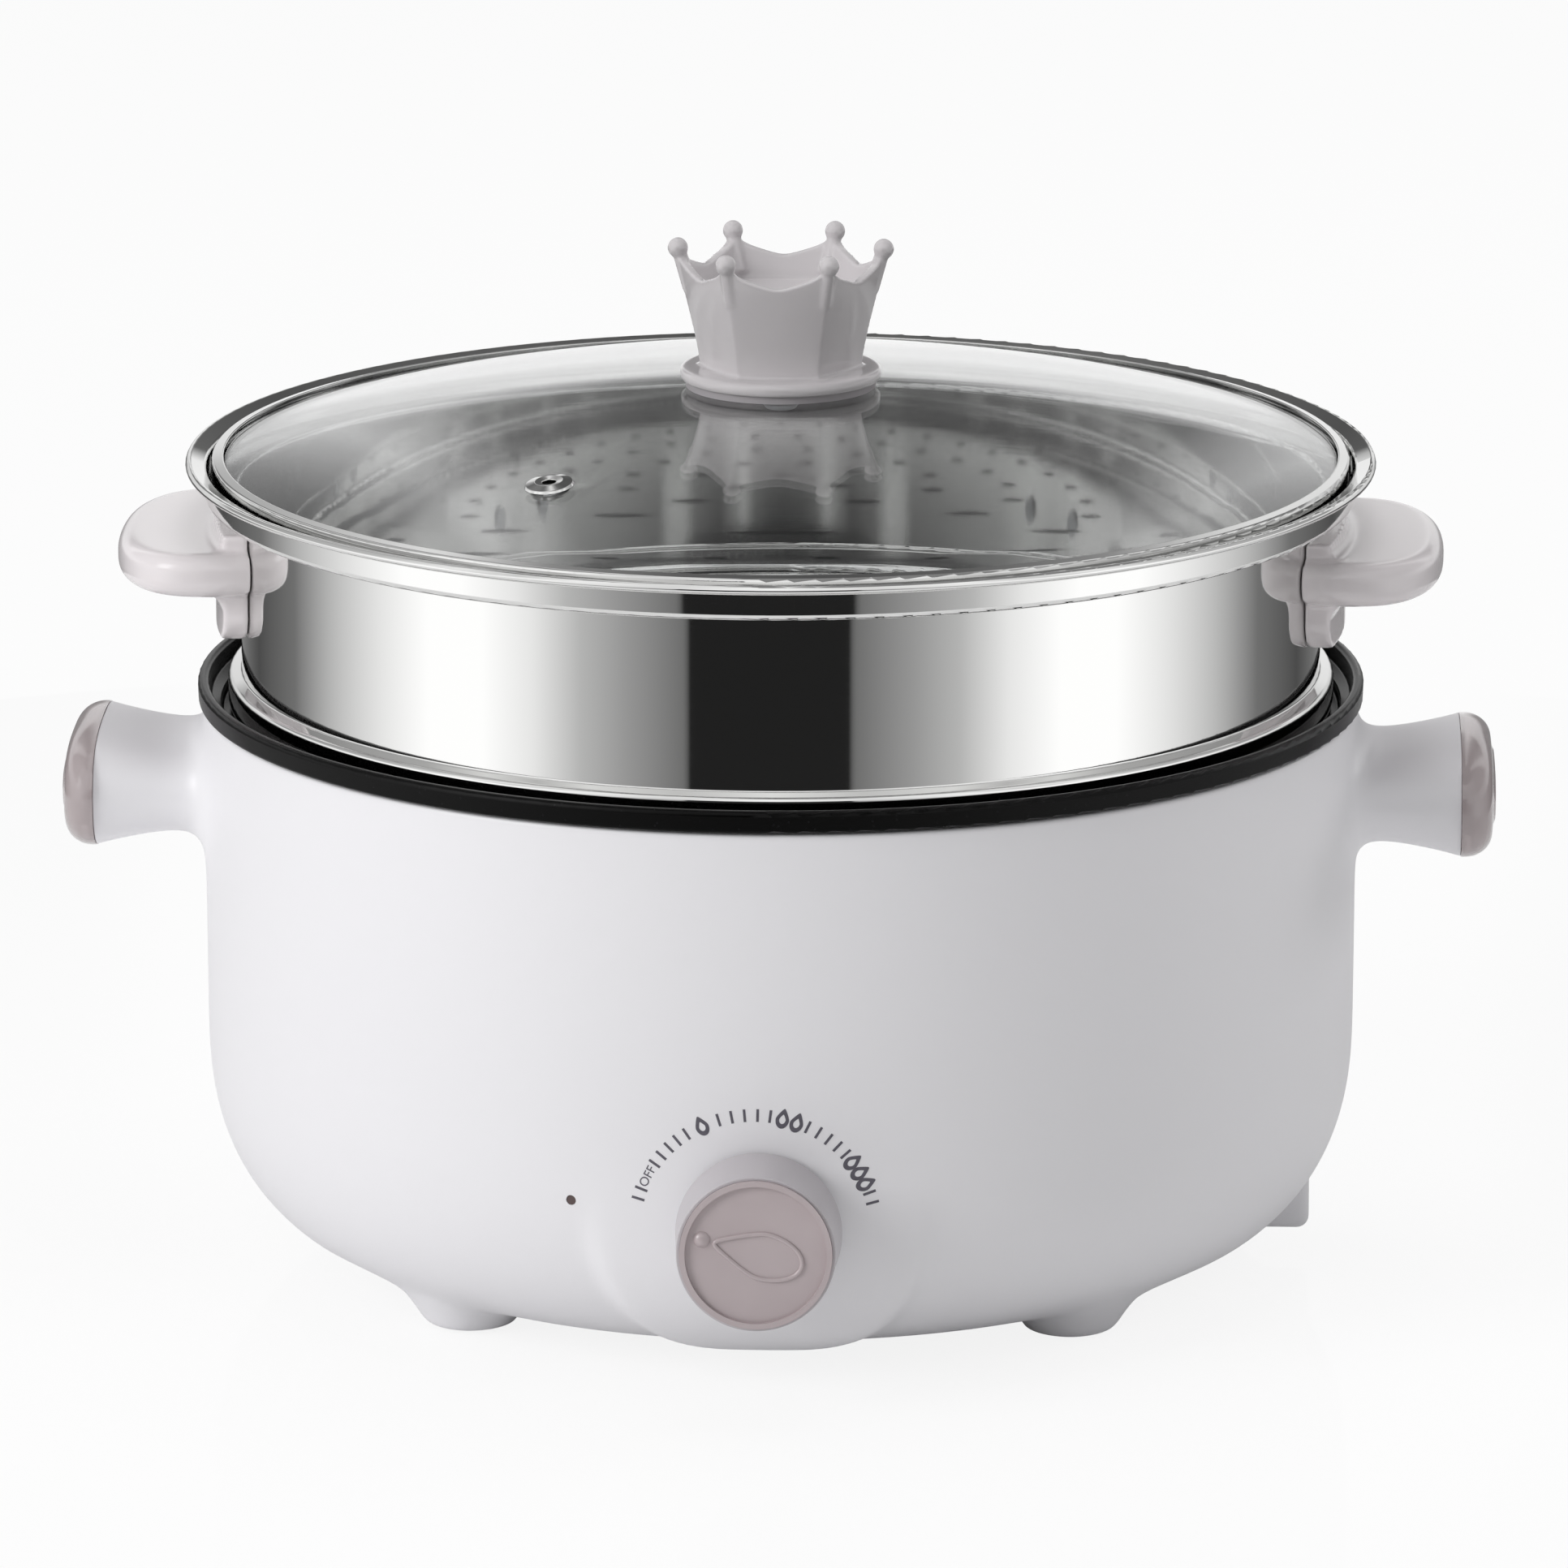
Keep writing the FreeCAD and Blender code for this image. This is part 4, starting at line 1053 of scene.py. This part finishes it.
def make_camera():
    """The camera of the photograph, worked out from the rims of the pot, the tier and the lid."""
    azimuth = math.radians(CAMERA_AZIMUTH)
    elevation = math.radians(CAMERA_ELEVATION)
    back = Vector((
        math.sin(azimuth) * math.cos(elevation),
        -math.cos(azimuth) * math.cos(elevation),
        math.sin(elevation),
    ))
    lens = bpy.data.cameras.new("photo_camera")
    lens.lens = CAMERA_LENS
    lens.sensor_width = 36.0
    lens.shift_x, lens.shift_y = CAMERA_SHIFT
    lens.clip_start = 0.1
    lens.clip_end = 30.0
    camera = bpy.data.objects.new("photo_camera", lens)
    bpy.context.scene.collection.objects.link(camera)
    camera.location = Vector(CAMERA_TARGET) + back * CAMERA_DISTANCE
    camera.rotation_euler = (-back).to_track_quat("-Z", "Y").to_euler()
    bpy.context.scene.camera = camera


make_camera()

# Studio: a pale floor, four soft lamps, and cards that only reflections and clear pieces show
CARD_RING_R = 0.62
CARD_RING_HIGH = 1.3
# Grey of the cards by how far round they stand from the front, in degrees: the low, middle and high row
LOW_CARDS = (
    (0.0, 0.015), (14.9, 0.015), (15.7, 0.16), (27.0, 0.32), (36.0, 0.48), (46.0, 0.84), (57.0, 1.06),
    (70.0, 1.06), (82.0, 0.84), (98.0, 0.50), (106.0, 0.31), (113.0, 0.165), (121.0, 0.125), (134.0, 0.07),
    (150.0, 0.16), (158.0, 0.20), (163.0, 0.85), (180.0, 0.9),
)
MIDDLE_CARDS = (
    (0.0, 0.03), (14.9, 0.03), (15.7, 0.45), (27.0, 0.75), (40.0, 0.95), (60.0, 1.0), (90.0, 0.9),
    (120.0, 0.7), (150.0, 0.6), (163.0, 0.8), (180.0, 0.8),
)
HIGH_CARDS = (
    (0.0, 0.95), (12.0, 0.80), (20.0, 0.70), (40.0, 0.90), (52.0, 0.60), (64.0, 0.85), (80.0, 0.50),
    (98.0, 0.42), (110.0, 0.34), (122.0, 0.28), (127.0, 0.80), (133.0, 0.85), (139.0, 0.28), (150.0, 0.12),
    (156.0, 0.40), (161.0, 0.80), (166.0, 0.25), (172.0, 0.12), (180.0, 0.08),
)
# Heights over which one row fades into the next
LOW_MEETS_MIDDLE = (0.15, 0.20)
MIDDLE_MEETS_HIGH = (0.30, 0.34)
FLOOR_CARD_R = (0.20, 0.62)
FLOOR_CARD_Z = 0.0015
# The ceiling's lit strip: how far left it lies, where its edge fades, and its light within and beside it
STRIP_LEFT = 0.22
STRIP_EDGE = (0.05, 0.20)
STRIP_LIGHT = (0.9, 0.26)
# How much of the floor that the camera sees is plain white; the rest takes the object's shadow
FLOOR_WHITE = 0.87
WORLD_LIGHT = 0.37
# Each lamp: its place, its size in metres and its watts
LAMPS = (
    ("key_left", (-2.2, -1.45, 1.3), 1.3, 40.0),
    ("fill_right", (1.9, -1.8, 1.2), 1.4, 0.3),
    ("top", (0.2, 0.2, 2.4), 1.4, 16.0),
    ("rim_right", (2.2, 1.4, 1.0), 1.0, 10.0),
)
LAMP_TARGET = (0.0, 0.0, 0.12)
CARD_STRENGTH = 1.22


def greys(tree, share, cards):
    """One row of cards: a grey for each direction."""
    ramp = add(tree, "ShaderNodeValToRGB", {"Fac": share})
    stops = ramp.color_ramp.elements
    stops.remove(stops[-1])
    for i, (angle, grey) in enumerate(cards):
        stop = stops[0] if i == 0 else stops.new(angle / 180)
        stop.position = angle / 180
        stop.color = (grey, grey, grey, 1)
    return ramp.outputs["Color"]


def card_material(name, see_through):
    """Lit cards, from near black in front of the object to white at its sides.

    With see_through 1 their backs are clear, with 0 both sides are lit.
    """
    made, tree = new_material(name)
    place = add(tree, "ShaderNodeTexCoord")
    part = add(tree, "ShaderNodeSeparateXYZ", {"Vector": place.outputs["Object"]})
    ahead = add(tree, "ShaderNodeMath", {0: part.outputs["Y"], 1: -1.0}, operation="MULTIPLY")
    turn = add(tree, "ShaderNodeMath", {0: part.outputs["X"], 1: ahead.outputs[0]}, operation="ARCTAN2")
    away = add(tree, "ShaderNodeMath", {0: turn.outputs[0]}, operation="ABSOLUTE")
    share = add(tree, "ShaderNodeMath", {0: away.outputs[0], 1: math.pi}, operation="DIVIDE")
    rows = greys(tree, share.outputs[0], LOW_CARDS)
    for (start, end), cards in ((LOW_MEETS_MIDDLE, MIDDLE_CARDS), (MIDDLE_MEETS_HIGH, HIGH_CARDS)):
        reach = add(tree, "ShaderNodeMapRange",
                    {"Value": part.outputs["Z"], "From Min": start, "From Max": end})
        mixed = add(tree, "ShaderNodeMix", {
            0: reach.outputs["Result"],
            "A": rows,
            "B": greys(tree, share.outputs[0], cards),
        }, data_type="RGBA")
        rows = mixed.outputs["Result"]
    glow = add(tree, "ShaderNodeEmission", {"Color": rows, "Strength": CARD_STRENGTH})
    side = add(tree, "ShaderNodeNewGeometry")
    behind = add(tree, "ShaderNodeMath",
                 {0: side.outputs["Backfacing"], 1: see_through}, operation="MULTIPLY")
    gone = add(tree, "ShaderNodeBsdfTransparent")
    card = add(tree, "ShaderNodeMixShader",
               {"Fac": behind.outputs[0], 1: glow.outputs[0], 2: gone.outputs[0]})
    close(tree, card)
    return made


def ceiling_material():
    """Dark cloth over the ring, with one long lit strip towards the left."""
    made, tree = new_material("studio_ceiling")
    place = add(tree, "ShaderNodeTexCoord")
    part = add(tree, "ShaderNodeSeparateXYZ", {"Vector": place.outputs["Object"]})
    off = add(tree, "ShaderNodeMath", {0: part.outputs["X"], 1: STRIP_LEFT}, operation="ADD")
    wide = add(tree, "ShaderNodeMath", {0: off.outputs[0]}, operation="ABSOLUTE")
    near, far = STRIP_EDGE
    within, beside = STRIP_LIGHT
    lit = add(tree, "ShaderNodeMapRange", {
        "Value": wide.outputs[0], "From Min": near, "From Max": far, "To Min": within, "To Max": beside,
    })
    glow = add(tree, "ShaderNodeEmission", {"Color": (1, 1, 1, 1), "Strength": lit.outputs["Result"]})
    close(tree, glow)
    return made


def only_mirrors_see(card, name, material):
    """A studio card that shows in reflections and through glass, and lights nothing."""
    card.name = name
    settle(card)
    card.visible_camera = False
    card.visible_diffuse = False
    card.visible_shadow = False
    give(material, card)


def make_card_ring():
    """The upright ring of cards round the object."""
    clear_selection()
    bpy.ops.mesh.primitive_cylinder_add(
        vertices=128, radius=CARD_RING_R, depth=CARD_RING_HIGH, end_fill_type="NOTHING",
        location=(0, 0, CARD_RING_HIGH / 2),
    )
    only_mirrors_see(bpy.context.object, "studio_card_ring", card_material("studio_cards", 0.0))


def make_floor_card():
    """A flat ring that carries the low cards on over the floor. The floor itself sees through it."""
    clear_selection()
    inner, outer = FLOOR_CARD_R
    bpy.ops.mesh.primitive_circle_add(vertices=96, radius=outer, location=(0, 0, FLOOR_CARD_Z))
    low_card = bpy.context.object
    open_mesh(low_card)
    bpy.ops.mesh.extrude_region_move()
    bpy.ops.transform.resize(value=(inner / outer, inner / outer, 1.0), center_override=(0, 0, FLOOR_CARD_Z))
    bpy.ops.mesh.select_all(action="SELECT")
    bpy.ops.mesh.normals_make_consistent(inside=False)
    mesh = bmesh.from_edit_mesh(low_card.data)
    if sum(face.normal.z for face in mesh.faces) < 0:
        bpy.ops.mesh.flip_normals()
    close_mesh()
    only_mirrors_see(low_card, "studio_floor_card", card_material("studio_floor_cards", 1.0))


def make_ceiling_card():
    """The cloth over the ring."""
    clear_selection()
    bpy.ops.mesh.primitive_circle_add(
        vertices=64, radius=CARD_RING_R, fill_type="NGON", location=(0, 0, CARD_RING_HIGH),
    )
    only_mirrors_see(bpy.context.object, "studio_ceiling_card", ceiling_material())


def floor_material():
    """White seamless paper: it keeps the object's soft shadow and a faint mirror image."""
    made, tree = new_material("seamless_paper")
    skin = add(tree, "ShaderNodeBsdfPrincipled", {
        "Base Color": linear("FAFAFA"),
        "Roughness": 0.05,
        "Specular IOR Level": 0.12,
    })
    light = add(tree, "ShaderNodeLightPath")
    seen = add(tree, "ShaderNodeMath", {
        0: light.outputs["Is Camera Ray"], 1: light.outputs["Is Transmission Ray"],
    }, operation="MAXIMUM")
    lift = add(tree, "ShaderNodeEmission", {"Color": (1, 1, 1, 1), "Strength": seen.outputs[0]})
    share = add(tree, "ShaderNodeMath", {0: seen.outputs[0], 1: FLOOR_WHITE}, operation="MULTIPLY")
    dim = add(tree, "ShaderNodeMixShader", {"Fac": share.outputs[0], 1: skin.outputs[0], 2: lift.outputs[0]})
    close(tree, dim)
    return made


def make_floor():
    """The wide sheet of paper that the object stands on."""
    clear_selection()
    bpy.ops.mesh.primitive_plane_add(size=14.0, location=(0, 0, 0))
    floor = bpy.context.object
    floor.name = "studio_floor"
    give(floor_material(), floor)


def make_world():
    """White to the camera, to mirrors and through glass; a plain pale grey as light on the object."""
    world = bpy.data.worlds.new("studio")
    bpy.context.scene.world = world
    world.use_nodes = True
    tree = world.node_tree
    tree.nodes.clear()
    light = add(tree, "ShaderNodeLightPath")
    seen = add(tree, "ShaderNodeMath",
               {0: light.outputs["Is Camera Ray"], 1: light.outputs["Is Glossy Ray"]}, operation="MAXIMUM")
    either = add(tree, "ShaderNodeMath",
                 {0: seen.outputs[0], 1: light.outputs["Is Transmission Ray"]}, operation="MAXIMUM")
    strength = add(tree, "ShaderNodeMapRange",
                   {"Value": either.outputs[0], "To Min": WORLD_LIGHT, "To Max": 1.0})
    sky = add(tree, "ShaderNodeBackground", {"Color": (1, 1, 1, 1), "Strength": strength.outputs["Result"]})
    add(tree, "ShaderNodeOutputWorld", {"Surface": sky.outputs[0]})


def make_lamps():
    """The soft lamps, all turned to the object."""
    for name, place, size, watts in LAMPS:
        lamp = bpy.data.lights.new(name, "AREA")
        lamp.size = size
        lamp.energy = watts
        body = bpy.data.objects.new(name, lamp)
        bpy.context.scene.collection.objects.link(body)
        body.location = place
        towards = Vector(LAMP_TARGET) - Vector(place)
        body.rotation_euler = towards.to_track_quat("-Z", "Y").to_euler()


make_card_ring()
make_floor_card()
make_ceiling_card()
make_floor()
make_world()
make_lamps()
bpy.context.scene.view_settings.view_transform = "Standard"
